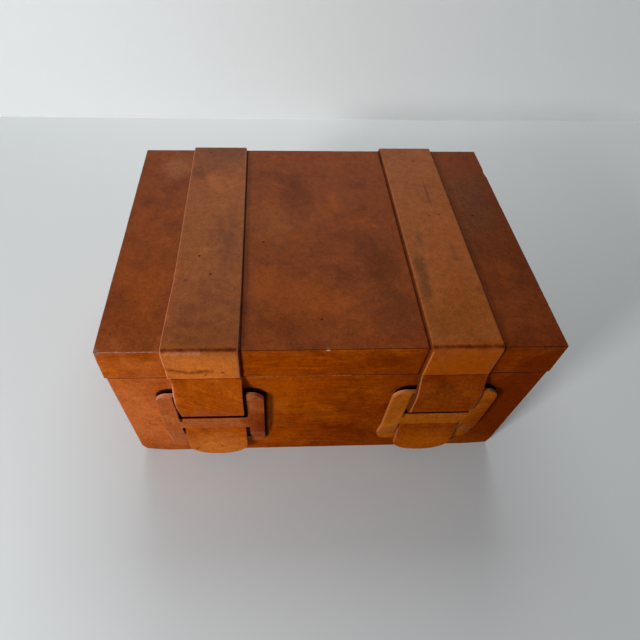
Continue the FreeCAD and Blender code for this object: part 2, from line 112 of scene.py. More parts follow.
class Axis(Enum):
    """An axis of the box's frame."""

    X = 0
    Y = 1
    Z = 2

    @property
    def vector(self) -> Vector:
        """The axis as a unit vector."""
        return Vector([1.0 if number == self.value else 0.0 for number in range(3)])


class Workpiece:
    """One mesh on the bench, with the tools used on it."""

    def __init__(self, item: bpy.types.Object, name: str) -> None:
        """Take a new object, put its place in its mesh and open it for editing.

        Args:
            item: The object that an operator has just added.
            name: What the piece is called.
        """
        self.item = item
        item.name = name
        item.data.name = name
        bpy.ops.object.transform_apply(location=True, rotation=True, scale=True)
        bpy.ops.object.mode_set(mode="EDIT")

    @staticmethod
    def clear() -> None:
        """Leave nothing selected."""
        bpy.ops.object.select_all(action="DESELECT")

    @classmethod
    def block(cls, name: str, low: Vector, high: Vector) -> "Workpiece":
        """A box between two corners.

        Args:
            name: What the piece is called.
            low: Lowest corner.
            high: Highest corner.

        Returns:
            The box, open for editing.
        """
        cls.clear()
        bpy.ops.mesh.primitive_cube_add(size=1.0, location=(low + high) / 2, scale=high - low)
        return cls(bpy.context.object, name)

    @classmethod
    def upright_sheet(cls, name: str, middle_x: float, width: float, y: float, low: float,
                      high: float) -> "Workpiece":
        """A flat sheet that stands across the box.

        Args:
            name: What the piece is called.
            middle_x: Middle of the sheet along X.
            width: Width along X.
            y: Where it stands.
            low: Lower edge.
            high: Upper edge.

        Returns:
            The sheet, open for editing.
        """
        cls.clear()
        bpy.ops.mesh.primitive_plane_add(size=1.0, location=(middle_x, y, (low + high) / 2),
                                         rotation=(math.pi / 2, 0, 0))
        bpy.context.object.scale = (width, high - low, 1)
        return cls(bpy.context.object, name)

    def pick(self, part: Part, test: Test) -> None:
        """Select only the corners, edges or faces that pass a test.

        Args:
            part: What to pick.
            test: Takes the middle, and the normal of a corner or face or the direction of an edge.
        """
        bpy.ops.mesh.select_all(action="DESELECT")
        bpy.context.tool_settings.mesh_select_mode = [part is choice for choice in Part]
        shape = bmesh.from_edit_mesh(self.item.data)
        if part is Part.CORNER:
            chosen = [corner for corner in shape.verts if test(corner.co, corner.normal)]
        elif part is Part.EDGE:
            chosen = []
            for edge in shape.edges:
                start, end = (corner.co for corner in edge.verts)
                if test((start + end) / 2, (end - start).normalized()):
                    chosen.append(edge)
        else:
            chosen = [face for face in shape.faces if test(face.calc_center_median(), face.normal)]
        for element in chosen:
            element.select_set(True)
        bmesh.update_edit_mesh(self.item.data)

    def extrude(self, x: float = 0.0, y: float = 0.0, z: float = 0.0) -> None:
        """Extrude what is selected by a step."""
        bpy.ops.mesh.extrude_region_move(TRANSFORM_OT_translate={"value": (x, y, z)})

    def widen(self, before: Vector, after: Vector) -> None:
        """Extrude the selected face in place and resize it about the box's middle.

        Args:
            before: Its half width and half depth now.
            after: Its half width and half depth wanted.
        """
        self.extrude()
        bpy.ops.transform.resize(value=(after.x / before.x, after.y / before.y, 1),
                                 center_override=(0, 0, 0))

    def bevel(self, width: float, segments: int, corners: bool = False) -> None:
        """Round the selected edges, or the selected corners of a sheet."""
        bpy.ops.mesh.bevel(offset=width, segments=segments, profile=0.5,
                           affect="VERTICES" if corners else "EDGES")

    def grid(self, axis: Axis, low: float, high: float, step: float) -> None:
        """Cut the whole piece at even places along an axis.

        Args:
            axis: Axis that the cuts stand across.
            low: Start of the stretch.
            high: End of the stretch.
            step: About how far apart the cuts are.
        """
        count = max(1, round((high - low) / step))
        for number in range(1, count):
            self.slice(axis, low + (high - low) * number / count)

    def slice(self, axis: Axis, place: float) -> None:
        """Cut the whole piece across an axis."""
        bpy.ops.mesh.select_all(action="SELECT")
        bpy.ops.mesh.bisect(plane_co=axis.vector * place, plane_no=axis.vector)

    def push(self, step: Vector, reach: float) -> None:
        """Move the selected corners and draw their neighbours along.

        Args:
            step: How far they move.
            reach: How far the pull on the neighbours goes.
        """
        bpy.ops.transform.translate(value=step, use_proportional_edit=True,
                                    proportional_edit_falloff="SMOOTH", proportional_size=reach)

    def open(self) -> None:
        """Go on editing."""
        self.clear()
        self.item.select_set(True)
        bpy.context.view_layer.objects.active = self.item
        bpy.ops.object.mode_set(mode="EDIT")

    def close(self) -> None:
        """Go back to object mode."""
        bpy.ops.object.mode_set(mode="OBJECT")

    def apply(self, kind: str, **settings: object) -> None:
        """Add a modifier and apply it.

        Args:
            kind: Blender's name for the modifier.
            settings: Its properties.
        """
        modifier = self.item.modifiers.new(kind.title(), kind)
        for key, value in settings.items():
            setattr(modifier, key, value)
        bpy.context.view_layer.objects.active = self.item
        bpy.ops.object.modifier_apply(modifier=modifier.name)

    def refine(self) -> None:
        """Divide each face in four and keep the shape."""
        self.apply("SUBSURF", subdivision_type="SIMPLE", levels=1, render_levels=1)

    def thicken(self, thickness: float, edge: float, segments: int) -> None:
        """Make a sheet solid, round its edges and divide it finely.

        Args:
            thickness: Thickness of the leather.
            edge: Width of the rounding.
            segments: Steps of the rounding.
        """
        self.apply("SOLIDIFY", thickness=thickness, offset=0.0, use_even_offset=True)
        self.apply("BEVEL", width=edge, segments=segments, limit_method="ANGLE", angle_limit=SHARP)
        self.refine()

    def unevenness(self, size: float, height: float, test: Test | None = None) -> None:
        """Give the surface the slow unevenness of leather over wood.

        Args:
            size: Size of the swells.
            height: Height from hollow to swell.
            test: Which corners move; all, if left out.
        """
        texture = bpy.data.textures.new(self.item.name + "_swells", "CLOUDS")
        texture.noise_scale = size
        group = self.item.vertex_groups.new(name="swells")
        chosen = [corner.index for corner in self.item.data.vertices
                  if test is None or test(corner.co, corner.normal)]
        group.add(chosen, 1.0, "REPLACE")
        self.apply("DISPLACE", texture=texture, texture_coords="LOCAL", strength=height, mid_level=0.5,
                   vertex_group=group.name)

    def mark(self, name: str, formula: Callable[[Vector, Vector], float]) -> None:
        """Store a value at each corner for the finish to read.

        Args:
            name: Name of the attribute.
            formula: Takes a corner's place and normal.
        """
        mesh = self.item.data
        layer = mesh.attributes.new(name, "FLOAT", "POINT")
        layer.data.foreach_set("value", [formula(corner.co, corner.normal) for corner in mesh.vertices])

    def settle(self, body: str, slot: str, material: bpy.types.Material, node: str) -> bpy.types.Object:
        """Smooth the piece, dress it and put it in the place of its CAD node.

        Args:
            body: Body that it rides on.
            slot: Not used.
            material: Its finish.
            node: CAD node that it stands for.

        Returns:
            The finished object.
        """
        self.clear()
        self.item.select_set(True)
        bpy.context.view_layer.objects.active = self.item
        bpy.ops.object.shade_smooth_by_angle(angle=SMOOTH)
        self.item.data.materials.clear()
        self.item.data.materials.append(material)
        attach(self.item, body)
        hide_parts(node)
        LOG.info("%s: %d faces on %s", self.item.name, len(self.item.data.polygons), body)
        return self.item


class Wiring:
    """Adds nodes to one node tree and joins them."""

    def __init__(self, tree: bpy.types.NodeTree) -> None:
        """Keep the tree."""
        self.tree = tree

    def feed(self, socket: Socket, value: object) -> None:
        """Join a socket to another, or set its value.

        Args:
            socket: The input.
            value: An output, or a plain value.
        """
        if isinstance(value, bpy.types.NodeSocket):
            self.tree.links.new(value, socket)
        else:
            socket.default_value = value

    def node(self, kind: str, settings: dict[str, object] | None = None, **inputs: object) -> bpy.types.Node:
        """Add a shader node.

        Args:
            kind: Node type without its prefix.
            settings: Properties of the node.
            inputs: Values or sockets by input name, with underscores for spaces.

        Returns:
            The node.
        """
        made = self.tree.nodes.new("ShaderNode" + kind)
        for key, value in (settings or {}).items():
            setattr(made, key, value)
        for key, value in inputs.items():
            self.feed(made.inputs[key.replace("_", " ")], value)
        return made

    def place(self, group: bpy.types.NodeTree, **inputs: object) -> bpy.types.NodeOutputs:
        """Add a node group and return its outputs."""
        return self.node("Group", {"node_tree": group}, **inputs).outputs

    def operate(self, kind: str, operation: str, first: object, second: object) -> bpy.types.NodeOutputs:
        """Add a node that works on two values.

        Args:
            kind: Node type without its prefix.
            operation: What it does with them.
            first: First value or socket.
            second: Second value or socket.

        Returns:
            The node's outputs.
        """
        made = self.node(kind, {"operation": operation})
        self.feed(made.inputs[0], first)
        self.feed(made.inputs[1], second)
        return made.outputs

    def math(self, operation: str, first: object, second: object = 0.0) -> Socket:
        """One operation on two values."""
        return self.operate("Math", operation, first, second)[0]

    def times(self, first: object, second: object) -> Socket:
        """The product of two values."""
        return self.math("MULTIPLY", first, second)

    def vector_math(self, operation: str, first: object, second: object = (0, 0, 0)) -> Socket:
        """One operation on two vectors, or on the first alone."""
        made = self.operate("VectorMath", operation, first, second)
        return made["Value" if operation == "LENGTH" else "Vector"]

    def step(self, value: object, low: object, high: object, start: object = 0.0,
             end: object = 1.0) -> Socket:
        """A smooth step from start to end as a value goes from low to high."""
        return self.node("MapRange", {"interpolation_type": "SMOOTHSTEP"}, Value=value, From_Min=low,
                         From_Max=high, To_Min=start, To_Max=end).outputs[0]

    def blend(self, share: object, under: object, over: object, kind: str = "MIX") -> Socket:
        """One colour over another.

        Args:
            share: How much of the upper one shows.
            under: Lower colour.
            over: Upper colour.
            kind: Blend mode.

        Returns:
            The mixed colour.
        """
        made = self.node("Mix", {"data_type": "RGBA", "blend_type": kind})
        self.feed(made.inputs[0], share)
        self.feed(made.inputs[6], under)
        self.feed(made.inputs[7], over)
        return made.outputs[2]

    def noise(self, vector: object, scale: object, detail: float = 3.0, roughness: float = 0.55,
              distortion: float = 0.0) -> Socket:
        """A noise from 0 to 1."""
        return self.node("TexNoise", None, Vector=vector, Scale=scale, Detail=detail, Roughness=roughness,
                         Distortion=distortion).outputs[0]

    def stretch(self, vector: object, x: float, y: float, z: float) -> Socket:
        """Coordinates drawn out along an axis by dividing them there."""
        return self.vector_math("MULTIPLY", vector, (x, y, z))


class Effects:
    """Node groups that several finishes share."""

    def __init__(self) -> None:
        """Build each group once."""
        self.clouds = self.build_clouds()
        self.flecks = self.build_flecks()
        self.grain = self.build_grain()
        self.specks = self.build_specks()
        self.scratches = self.build_scratches()
        self.stain = self.build_stain()
        self.wear = self.build_wear()
        self.mark = self.build_mark()

    @staticmethod
    def new_group(name: str, inputs: dict[str, object], outputs: dict[str, str]) -> tuple[
            bpy.types.NodeTree, Wiring, bpy.types.NodeOutputs, bpy.types.NodeInputs]:
        """An empty node group with named sockets.

        Args:
            name: Name of the group.
            inputs: Defaults by name: a number, three numbers for a vector, four for a colour.
            outputs: Socket types by name.

        Returns:
            The group, its wiring, the sockets inside that bring values in, and those that take them out.
        """
        group = bpy.data.node_groups.new(name, "ShaderNodeTree")
        for key, value in inputs.items():
            length = len(value) if isinstance(value, tuple) else 1
            kind = {1: "NodeSocketFloat", 3: "NodeSocketVector", 4: "NodeSocketColor"}[length]
            socket = group.interface.new_socket(key, in_out="INPUT", socket_type=kind)
            socket.default_value = value
        for key, kind in outputs.items():
            group.interface.new_socket(key, in_out="OUTPUT", socket_type="NodeSocket" + kind)
        entry = group.nodes.new("NodeGroupInput")
        way_out = group.nodes.new("NodeGroupOutput")
        return group, Wiring(group), entry.outputs, way_out.inputs

    def build_clouds(self) -> bpy.types.NodeTree:
        """Cloudy patina of old leather, in light and dark patches.

        Returns:
            The node group.
        """
        group, wire, given, made = self.new_group(
            "Cloudy patina",
            {"Vector": (0.0, 0.0, 0.0), "Size": 0.03, "Light": tint(160, 90, 40), "Middle": tint(130, 65, 30),
             "Dark": tint(90, 40, 25)}, {"Color": "Color", "Cloud": "Float"})
        scale = wire.math("DIVIDE", 1.0, given["Size"])
        aside = wire.vector_math("ADD", given["Vector"], (3.1, 1.7, 2.3))
        shade = wire.noise(given["Vector"], scale, detail=6.0, roughness=0.62, distortion=0.9)
        glow = wire.noise(aside, wire.times(scale, 1.3), detail=6.0, roughness=0.62, distortion=0.9)
        colour = wire.blend(wire.step(shade, 0.47, 0.74), given["Middle"], given["Dark"])
        wire.feed(made["Color"], wire.blend(wire.step(glow, 0.48, 0.76), colour, given["Light"]))
        wire.feed(made["Cloud"], shade)
        return group

    def build_flecks(self) -> bpy.types.NodeTree:
        """Fine mottling, as a brightness about 1.

        Returns:
            The node group.
        """
        group, wire, given, made = self.new_group(
            "Flecks", {"Vector": (0.0, 0.0, 0.0), "Strength": 0.5}, {"Value": "Float"})
        coarse = wire.noise(given["Vector"], 230.0, detail=4.0, roughness=0.65, distortion=0.4)
        fine = wire.noise(given["Vector"], 1000.0, detail=3.0, roughness=0.7)
        both = wire.math("ADD", wire.times(coarse, 1.4), wire.times(fine, 1.8))
        value = wire.times(wire.math("SUBTRACT", both, 1.6), given["Strength"])
        wire.feed(made["Value"], wire.math("ADD", value, 1.0))
        return group

    def build_grain(self) -> bpy.types.NodeTree:
        """Fine cells and pores of the leather's grain side.

        Returns:
            The node group.
        """
        group, wire, given, made = self.new_group(
            "Leather grain", {"Vector": (0.0, 0.0, 0.0), "Size": 0.0008}, {"Height": "Float"})
        scale = wire.math("DIVIDE", 1.0, given["Size"])
        warp = wire.noise(given["Vector"], wire.times(scale, 0.3), detail=2.0)
        cells = wire.node("TexVoronoi", {"feature": "SMOOTH_F1"}, Vector=given["Vector"],
                          Scale=scale).outputs["Distance"]
        pores = wire.noise(given["Vector"], wire.times(scale, 2.5), detail=2.0)
        height = wire.math("SUBTRACT", wire.times(cells, -0.6), wire.times(pores, 0.4))
        wire.feed(made["Height"], wire.math("ADD", height, wire.times(warp, 0.8)))
        return group

    def build_specks(self) -> bpy.types.NodeTree:
        """Scattered small pits.

        Returns:
            The node group.
        """
        group, wire, given, made = self.new_group(
            "Specks", {"Vector": (0.0, 0.0, 0.0), "Spacing": 0.008, "Size": 0.0006, "Share": 0.4},
            {"Mask": "Float"})
        cells = wire.node("TexVoronoi", None, Vector=given["Vector"],
                          Scale=wire.math("DIVIDE", 1.0, given["Spacing"]))
        lot = wire.node("SeparateColor", None, Color=cells.outputs["Color"]).outputs
        radius = wire.math("DIVIDE", given["Size"], given["Spacing"])
        radius = wire.times(radius, wire.math("ADD", lot[1], 0.35))
        ragged = wire.noise(given["Vector"], 2600.0, detail=1.0)
        distance = wire.math("ADD", cells.outputs["Distance"],
                             wire.times(wire.math("SUBTRACT", ragged, 0.5), radius))
        inside = wire.step(distance, radius, wire.times(radius, 0.4))
        wire.feed(made["Mask"], wire.times(inside, wire.math("LESS_THAN", lot[0], given["Share"])))
        return group

    def build_scratches(self) -> bpy.types.NodeTree:
        """Thin scuffs that run mostly one way.

        Returns:
            The node group.
        """
        group, wire, given, made = self.new_group(
            "Scratches", {"Vector": (0.0, 0.0, 0.0), "Size": 0.004, "Share": 0.5}, {"Mask": "Float"})
        scale = wire.math("DIVIDE", 1.0, given["Size"])
        line = wire.noise(given["Vector"], scale, detail=2.0, roughness=0.6, distortion=0.4)
        ridge = wire.math("ABSOLUTE", wire.math("SUBTRACT", line, 0.5))
        where = wire.noise(given["Vector"], wire.times(scale, 0.35), detail=2.0)
        limit = wire.math("SUBTRACT", 0.72, wire.times(given["Share"], 0.25))
        kept = wire.step(where, limit, wire.math("ADD", limit, 0.08))
        wire.feed(made["Mask"], wire.times(wire.step(ridge, 0.02, 0.004), kept))
        return group

    def build_stain(self) -> bpy.types.NodeTree:
        """One soft patch about a place.

        Returns:
            The node group.
        """
        group, wire, given, made = self.new_group(
            "StainAndLight", {"Vector": (0.0, 0.0, 0.0), "Place": (0.0, 0.0, 0.0), "Reach": (0.02, 0.02, 0.02),
                      "Noise": 0.5, "Ragged": 0.5}, {"Mask": "Float"})
        offset = wire.vector_math("SUBTRACT", given["Vector"], given["Place"])
        away = wire.vector_math("LENGTH", wire.vector_math("DIVIDE", offset, given["Reach"]))
        ragged = wire.times(wire.math("SUBTRACT", given["Noise"], 0.5), given["Ragged"])
        away = wire.math("ADD", away, wire.times(ragged, 2.5))
        wire.feed(made["Mask"], wire.step(away, 1.0, 0.15))
        return group

    def build_wear(self) -> bpy.types.NodeTree:
        """Where an edge or a fold lies, broken up along it: for wear, and for painted highlights on light
        edges.

        Returns:
            The node group.
        """
        group, wire, given, made = self.new_group(
            "Edge wear", {"Vector": (0.0, 0.0, 0.0), "Edge": 0.0, "Start": 0.3, "Soft": 0.35, "Breakup": 0.4},
            {"Mask": "Float"})
        patch = wire.math("SUBTRACT", wire.noise(given["Vector"], 260.0, detail=4.0, roughness=0.65), 0.5)
        reach = wire.math("ADD", given["Edge"], wire.times(patch, given["Breakup"]))
        full = wire.math("ADD", given["Start"], given["Soft"])
        wire.feed(made["Mask"], wire.step(reach, given["Start"], full))
        return group

    def build_mark(self) -> bpy.types.NodeTree:
        """An upright plate's shape with round corners and a soft outline.

        Returns:
            The node group.
        """
        group, wire, given, made = self.new_group(
            "Mark", {"Vector": (0.0, 0.0, 0.0), "Place": (0.0, 0.0, 0.0), "Half": (0.03, 0.01, 0.03),
                     "Corner": 0.008, "Reach": 0.002, "Noise": 0.5, "Broken": 0.0}, {"Mask": "Float"})
        offset = wire.vector_math("SUBTRACT", given["Vector"], given["Place"])
        offset = wire.vector_math("ABSOLUTE", offset)
        offset = wire.vector_math("SUBTRACT", offset, given["Half"])
        round_off = wire.node("CombineXYZ", None, X=given["Corner"], Z=given["Corner"]).outputs[0]
        beyond = wire.vector_math("MAXIMUM", wire.vector_math("ADD", offset, round_off), (0, 0, 0))
        away = wire.math("SUBTRACT", wire.vector_math("LENGTH", beyond), given["Corner"])
        ragged = wire.times(wire.math("SUBTRACT", given["Noise"], 0.5), 1.6)
        away = wire.math("ADD", away, wire.times(ragged, given["Reach"]))
        inside = wire.step(away, given["Reach"], 0.0)
        gaps = wire.times(wire.step(given["Noise"], 0.56, 0.46), given["Broken"])
        wire.feed(made["Mask"], wire.times(inside, wire.math("SUBTRACT", 1.0, gaps)))
        return group


class Paint(Wiring):
    """A new material, with its shader and the places that its textures go by."""

    def __init__(self, name: str, effects: Effects) -> None:
        """Make the material.

        Args:
            name: Name of the material.
            effects: Shared node groups.
        """
        self.material = bpy.data.materials.new(name)
        self.material.use_nodes = True
        super().__init__(self.material.node_tree)
        self.effects = effects
        self.shader = self.tree.nodes["Principled BSDF"].inputs
        self.where = self.node("TexCoord").outputs["Object"]

    def give(self, **inputs: object) -> None:
        """Feed the shader's inputs, named with underscores for spaces."""
        for key, value in inputs.items():
            self.feed(self.shader[key.replace("_", " ")], value)

    def attribute(self, name: str) -> Socket:
        """A value stored at the corners of the mesh."""
        return self.node("Attribute", {"attribute_name": name}).outputs["Fac"]

    def clouds(self, size: float, light: Colour, middle: Colour, dark: Colour) -> bpy.types.NodeOutputs:
        """A cloudy patina in three colours."""
        return self.place(self.effects.clouds, Vector=self.where, Size=size, Light=light, Middle=middle,
                          Dark=dark)

    def mask(self, group: bpy.types.NodeTree, **inputs: object) -> Socket:
        """Where one of the shared effects lies."""
        return self.place(group, **{"Vector": self.where, **inputs})["Mask"]

    def emboss(self, height: Socket, depth: float, strength: float) -> None:
        """Give the shader a fine relief."""
        bump = self.node("Bump", None, Strength=strength, Distance=depth, Height=height)
        self.give(Normal=bump.outputs["Normal"])


@dataclass(frozen=True)
class StainAndLight:
    """A patch of another colour on the leather, in millimetres: some are the leather's own blots and spots,
    some painted light, shade and highlights.
    """

    place: Triple
    reach: Triple
    colour: Colour
    strength: float = 0.6
    ragged: float = 0.4


@dataclass(frozen=True)
class Mark:
    """A mark with the outline of an upright plate, in millimetres: mostly painted shade and painted
    highlights, and also the seam's dark line.
    """

    place: Triple
    half: Triple
    corner: float = 0.3
    reach: float = 0.6
    # near black by default: the colour of painted shade
    colour: Colour = tint(20, 5, 2)
    strength: float = 0.95
    broken: float = 0.0


@dataclass(frozen=True)
class Blemish:
    """Small damage strewn over the leather: its colour, and how deep it goes."""

    mask: Socket
    colour: Colour
    share: float
    depth: float


@dataclass(frozen=True)
class LeatherFinish:
    """Semi-gloss saddle leather with a mottled patina."""

    name: str
    light: Colour
    middle: Colour
    dark: Colour
    # colour of the edges: wear on the cover, and where it is light partly wear and partly a painted highlight
    rub: Colour = tint(96, 36, 8)
    rub_share: float = 0.6
    top: tuple[Colour, Colour, Colour] = (tint(146, 76, 30), tint(122, 58, 24), tint(90, 44, 24))
    top_share: float = 0.0
    pit: Colour = tint(58, 15, 3)
    crease: Colour = tint(82, 22, 6)
    crease_share: float = 0.9
    cloud_size: float = 36 * MM
    fleck: float = 0.6
    streak_turn: float = 0.0
    streak_draw: Triple = (0.1, 0.1, 1.0)
    streak_share: float = 0.3
    roughness: float = 0.42
    roughness_play: float = 0.35
    scuff_roughness: float = 0.12
    polish_tint: Colour = (1.0, 0.7, 0.5, 1.0)
    edge_polish: float = 0.3
    haze: float = 0.045
    speck_share: float = 0.25
    grain_share: float = 0.35
    grain_height: float = 0.15 * MM
    relief: float = 0.6
    stains: tuple[StainAndLight, ...] = ()
    marks: tuple[Mark, ...] = ()

    def material(self, effects: Effects) -> bpy.types.Material:
        """Make the finish as a material.

        Args:
            effects: Shared node groups.

        Returns:
            The material.
        """
        paint = Paint(self.name, effects)
        upward = paint.attribute("top")
        patina = paint.clouds(self.cloud_size, self.light, self.middle, self.dark)
        colour = self.streaked(paint, patina["Color"])
        if self.top_share:
            aged = paint.clouds(self.cloud_size, *self.top)["Color"]
            colour = paint.blend(paint.times(upward, self.top_share), colour, aged)
        colour = self.stained(paint, colour)
        fleck = paint.place(effects.flecks, Vector=paint.where, Strength=self.fleck)["Value"]
        colour = paint.node("HueSaturation", None, Value=fleck, Color=colour).outputs[0]
        blemishes = self.blemishes(paint)
        for blemish in blemishes:
            colour = paint.blend(paint.times(blemish.mask, blemish.share), colour, blemish.colour)
        colour, bare = self.marked(paint, self.worn(paint, colour))
        rough = paint.times(paint.math("SUBTRACT", patina["Cloud"], 0.5), self.roughness_play)
        rough = paint.math("ADD", rough, self.roughness)
        rough = paint.math("ADD", rough, paint.times(blemishes[-1].mask, self.scuff_roughness))
        polish = paint.times(paint.attribute("edge"), self.edge_polish)
        polish = paint.math("ADD", polish, paint.times(upward, self.haze))
        paint.give(Base_Color=colour, Roughness=rough, Specular_IOR_Level=paint.times(polish, bare),
                   Specular_Tint=self.polish_tint)
        relief = paint.times(paint.place(effects.grain, Vector=paint.where)["Height"], self.grain_share)
        for blemish in blemishes:
            relief = paint.math("SUBTRACT", relief, paint.times(blemish.mask, blemish.depth))
        paint.emboss(relief, self.grain_height, self.relief)
        return paint.material

    def streaked(self, paint: Paint, colour: Socket) -> Socket:
        """Lay dark and light streaks over a colour, drawn out one way.

        Args:
            paint: The material.
            colour: Colour so far.

        Returns:
            The colour with streaks.
        """
        drawn = paint.node("Mapping", {"vector_type": "TEXTURE"}, Vector=paint.where,
                           Rotation=(0, math.radians(self.streak_turn), 0),
                           Scale=[1 / value for value in self.streak_draw]).outputs[0]
        streak = paint.noise(drawn, 420.0, detail=5.0, roughness=0.68)
        colour = paint.blend(paint.step(streak, 0.48, 0.72, 0.0, self.streak_share), colour, self.dark)
        return paint.blend(paint.step(streak, 0.52, 0.28, 0.0, self.streak_share), colour, self.light)

    def stained(self, paint: Paint, colour: Socket) -> Socket:
        """Lay the patches over a colour, one by one: the leather's own blots and spots, and painted light,
        shade and highlights.

        Args:
            paint: The material.
            colour: Colour so far.

        Returns:
            The colour with the patches.
        """
        ragged = paint.noise(paint.where, 70.0, detail=6.0, roughness=0.65, distortion=0.5)
        for stain in self.stains:
            mask = paint.mask(paint.effects.stain, Place=metres(stain.place), Reach=metres(stain.reach),
                              Noise=ragged, Ragged=stain.ragged)
            colour = paint.blend(paint.times(mask, stain.strength), colour, stain.colour)
        return colour

    def blemishes(self, paint: Paint) -> tuple[Blemish, ...]:
        """Pits, pinholes and, last, scuffs.

        Args:
            paint: The material.

        Returns:
            Each kind with its colour and depth.
        """
        effects = paint.effects
        specks = paint.mask(effects.specks, Size=0.9 * MM, Share=self.speck_share)
        pinholes = paint.mask(effects.specks, Spacing=3.2 * MM, Size=0.32 * MM, Share=self.speck_share)
        scuffs = paint.mask(effects.scratches, Vector=paint.stretch(paint.where, 1.0, 0.25, 0.6))
        return (Blemish(specks, self.pit, share=0.85, depth=1.0),
                Blemish(pinholes, self.pit, share=0.6, depth=0.6),
                Blemish(scuffs, self.light, share=0.12, depth=0.25))

    def worn(self, paint: Paint, colour: Socket) -> Socket:
        """Colour the edges, with wear and, where their colour is light, a painted highlight; darken the
        folds.

        Args:
            paint: The material.
            colour: Colour so far.

        Returns:
            The colour with its edges and folds.
        """
        wear = paint.effects.wear
        worn_and_lit_edges = paint.mask(wear, Edge=paint.attribute("edge"), Start=0.3, Breakup=0.5)
        # edge colour: wear on the cover, partly a painted highlight on the light edges of straps, tails and
        # plates
        colour = paint.blend(paint.times(worn_and_lit_edges, self.rub_share), colour, self.rub)
        creased = paint.mask(wear, Edge=paint.attribute("fold"), Start=0.35, Soft=0.9, Breakup=1.2)
        return paint.blend(paint.times(creased, self.crease_share), colour, self.crease)

    def marked(self, paint: Paint, colour: Socket) -> tuple[Socket, object]:
        """Lay the marks over a colour, one by one: painted shade in gaps, slots and a crease, painted
        highlights on edges, and the seam's dark line.

        Args:
            paint: The material.
            colour: Colour so far.

        Returns:
            The colour with marks, and the share of the polish that they leave.
        """
        fine = paint.noise(paint.where, 520.0, detail=3.0, roughness=0.6)
        bare = 1.0
        for mark in self.marks:
            mask = paint.mask(paint.effects.mark, Place=metres(mark.place), Half=metres(mark.half),
                              Corner=mark.corner * MM, Reach=mark.reach * MM, Noise=fine, Broken=mark.broken)
            mask = paint.times(mask, mark.strength)
            colour = paint.blend(mask, colour, mark.colour)
            bare = paint.times(bare, paint.math("SUBTRACT", 1.0, mask))
        return colour, bare


@dataclass(frozen=True)
class SuedeFinish:
    """Napped suede of the lining."""

    name: str = "lining suede"
    light: Colour = tint(176, 140, 104)
    middle: Colour = tint(160, 122, 88)
    dark: Colour = tint(138, 102, 72)
    cloud_size: float = 22 * MM
    nap_share: float = 0.35
    nap_height: float = 0.15 * MM

    def material(self, effects: Effects) -> bpy.types.Material:
        """Make the finish as a material.

        Args:
            effects: Shared node groups.

        Returns:
            The material.
        """
        paint = Paint(self.name, effects)
        patina = paint.clouds(self.cloud_size, self.light, self.middle, self.dark)
        nap = paint.noise(paint.where, 2400.0, detail=3.0, roughness=0.7)
        paint.give(Base_Color=paint.blend(paint.times(nap, self.nap_share), patina["Color"], self.dark),
                   Roughness=paint.math("ADD", paint.times(nap, 0.1), 0.85),
                   Sheen_Weight=0.35, Sheen_Roughness=0.5, Sheen_Tint=self.light)
        paint.emboss(nap, self.nap_height, 0.5)
        return paint.material


@dataclass(frozen=True)
class MetalFinish:
    """Metal of the hinges, with tarnish."""

    name: str
    bright: Colour
    tarnish: Colour
    roughness: float = 0.3
    cloud_size: float = 6 * MM
    brush_share: float = 0.3
    brush_depth: float = 0.03 * MM

    def material(self, effects: Effects) -> bpy.types.Material:
        """Make the finish as a material.

        Args:
            effects: Shared node groups.

        Returns:
            The material.
        """
        paint = Paint(self.name, effects)
        patina = paint.clouds(self.cloud_size, self.bright, self.bright, self.tarnish)
        brushed = paint.noise(paint.stretch(paint.where, 0.08, 1.0, 1.0), 5200.0, detail=2.0)
        dulled = paint.times(brushed, self.brush_share)
        paint.give(Base_Color=paint.blend(dulled, patina["Color"], self.tarnish),
                   Roughness=paint.math("ADD", paint.times(brushed, 0.18), self.roughness), Metallic=1.0)
        paint.emboss(brushed, self.brush_depth, 0.25)
        return paint.material


@dataclass(frozen=True)
class WoodFinish:
    """Plain sanded boards under the leather."""

    name: str = "carcass wood"
    pale: Colour = tint(214, 182, 136)
    grain: Colour = tint(178, 136, 88)
    grain_depth: float = 0.1 * MM

    def material(self, effects: Effects) -> bpy.types.Material:
        """Make the finish as a material.

        Args:
            effects: Shared node groups.

        Returns:
            The material.
        """
        paint = Paint(self.name, effects)
        rings = paint.noise(paint.stretch(paint.where, 0.06, 0.06, 1.0), 320.0, detail=4.0, roughness=0.6,
                            distortion=0.8)
        fibre = paint.noise(paint.stretch(paint.where, 0.05, 0.05, 1.0), 2600.0, detail=2.0)
        share = paint.math("ADD", paint.step(rings, 0.4, 0.65), paint.times(fibre, 0.3))
        paint.give(Base_Color=paint.blend(share, self.pale, self.grain),
                   Roughness=paint.math("ADD", paint.times(fibre, 0.15), 0.6))
        paint.emboss(fibre, self.grain_depth, 0.3)
        return paint.material


# Places of the crease across the left strap's front, along X and Z in millimetres.
CREASE = ((-90, 114.2), (-87, 112.6), (-84, 111.5), (-80, 110.9), (-76, 110.9), (-72, 111.6),
          (-69, 112.4))
BUCKLE = 71.4  # middle of each buckle along X, in millimetres
PURPLE = tint(98, 44, 24)
ORANGE = tint(160, 78, 16)
OLIVE = tint(92, 46, 12)
SOOT = tint(24, 7, 3)


def outline_marks(middle: float, half: float, right: float, reach: float) -> tuple[Mark, ...]:
    """Painted shade on the cover in the gap along a plate's outline and behind its slots.

    Args:
        middle: Middle of the buckle along X, in millimetres.
        half: Half the painted shade's length along X.
        right: How far the painted shade is moved to the right.
        reach: Width of the shaded gap.

    Returns:
        Painted shade marks for the cover's leather.
    """
    return (Mark((middle + right, -93, 53.8), (half, 6, 34.9), 8.0, reach),
            Mark((middle, -93, 54), (23, 6, 15), 0.5, 1.0, strength=1.0))


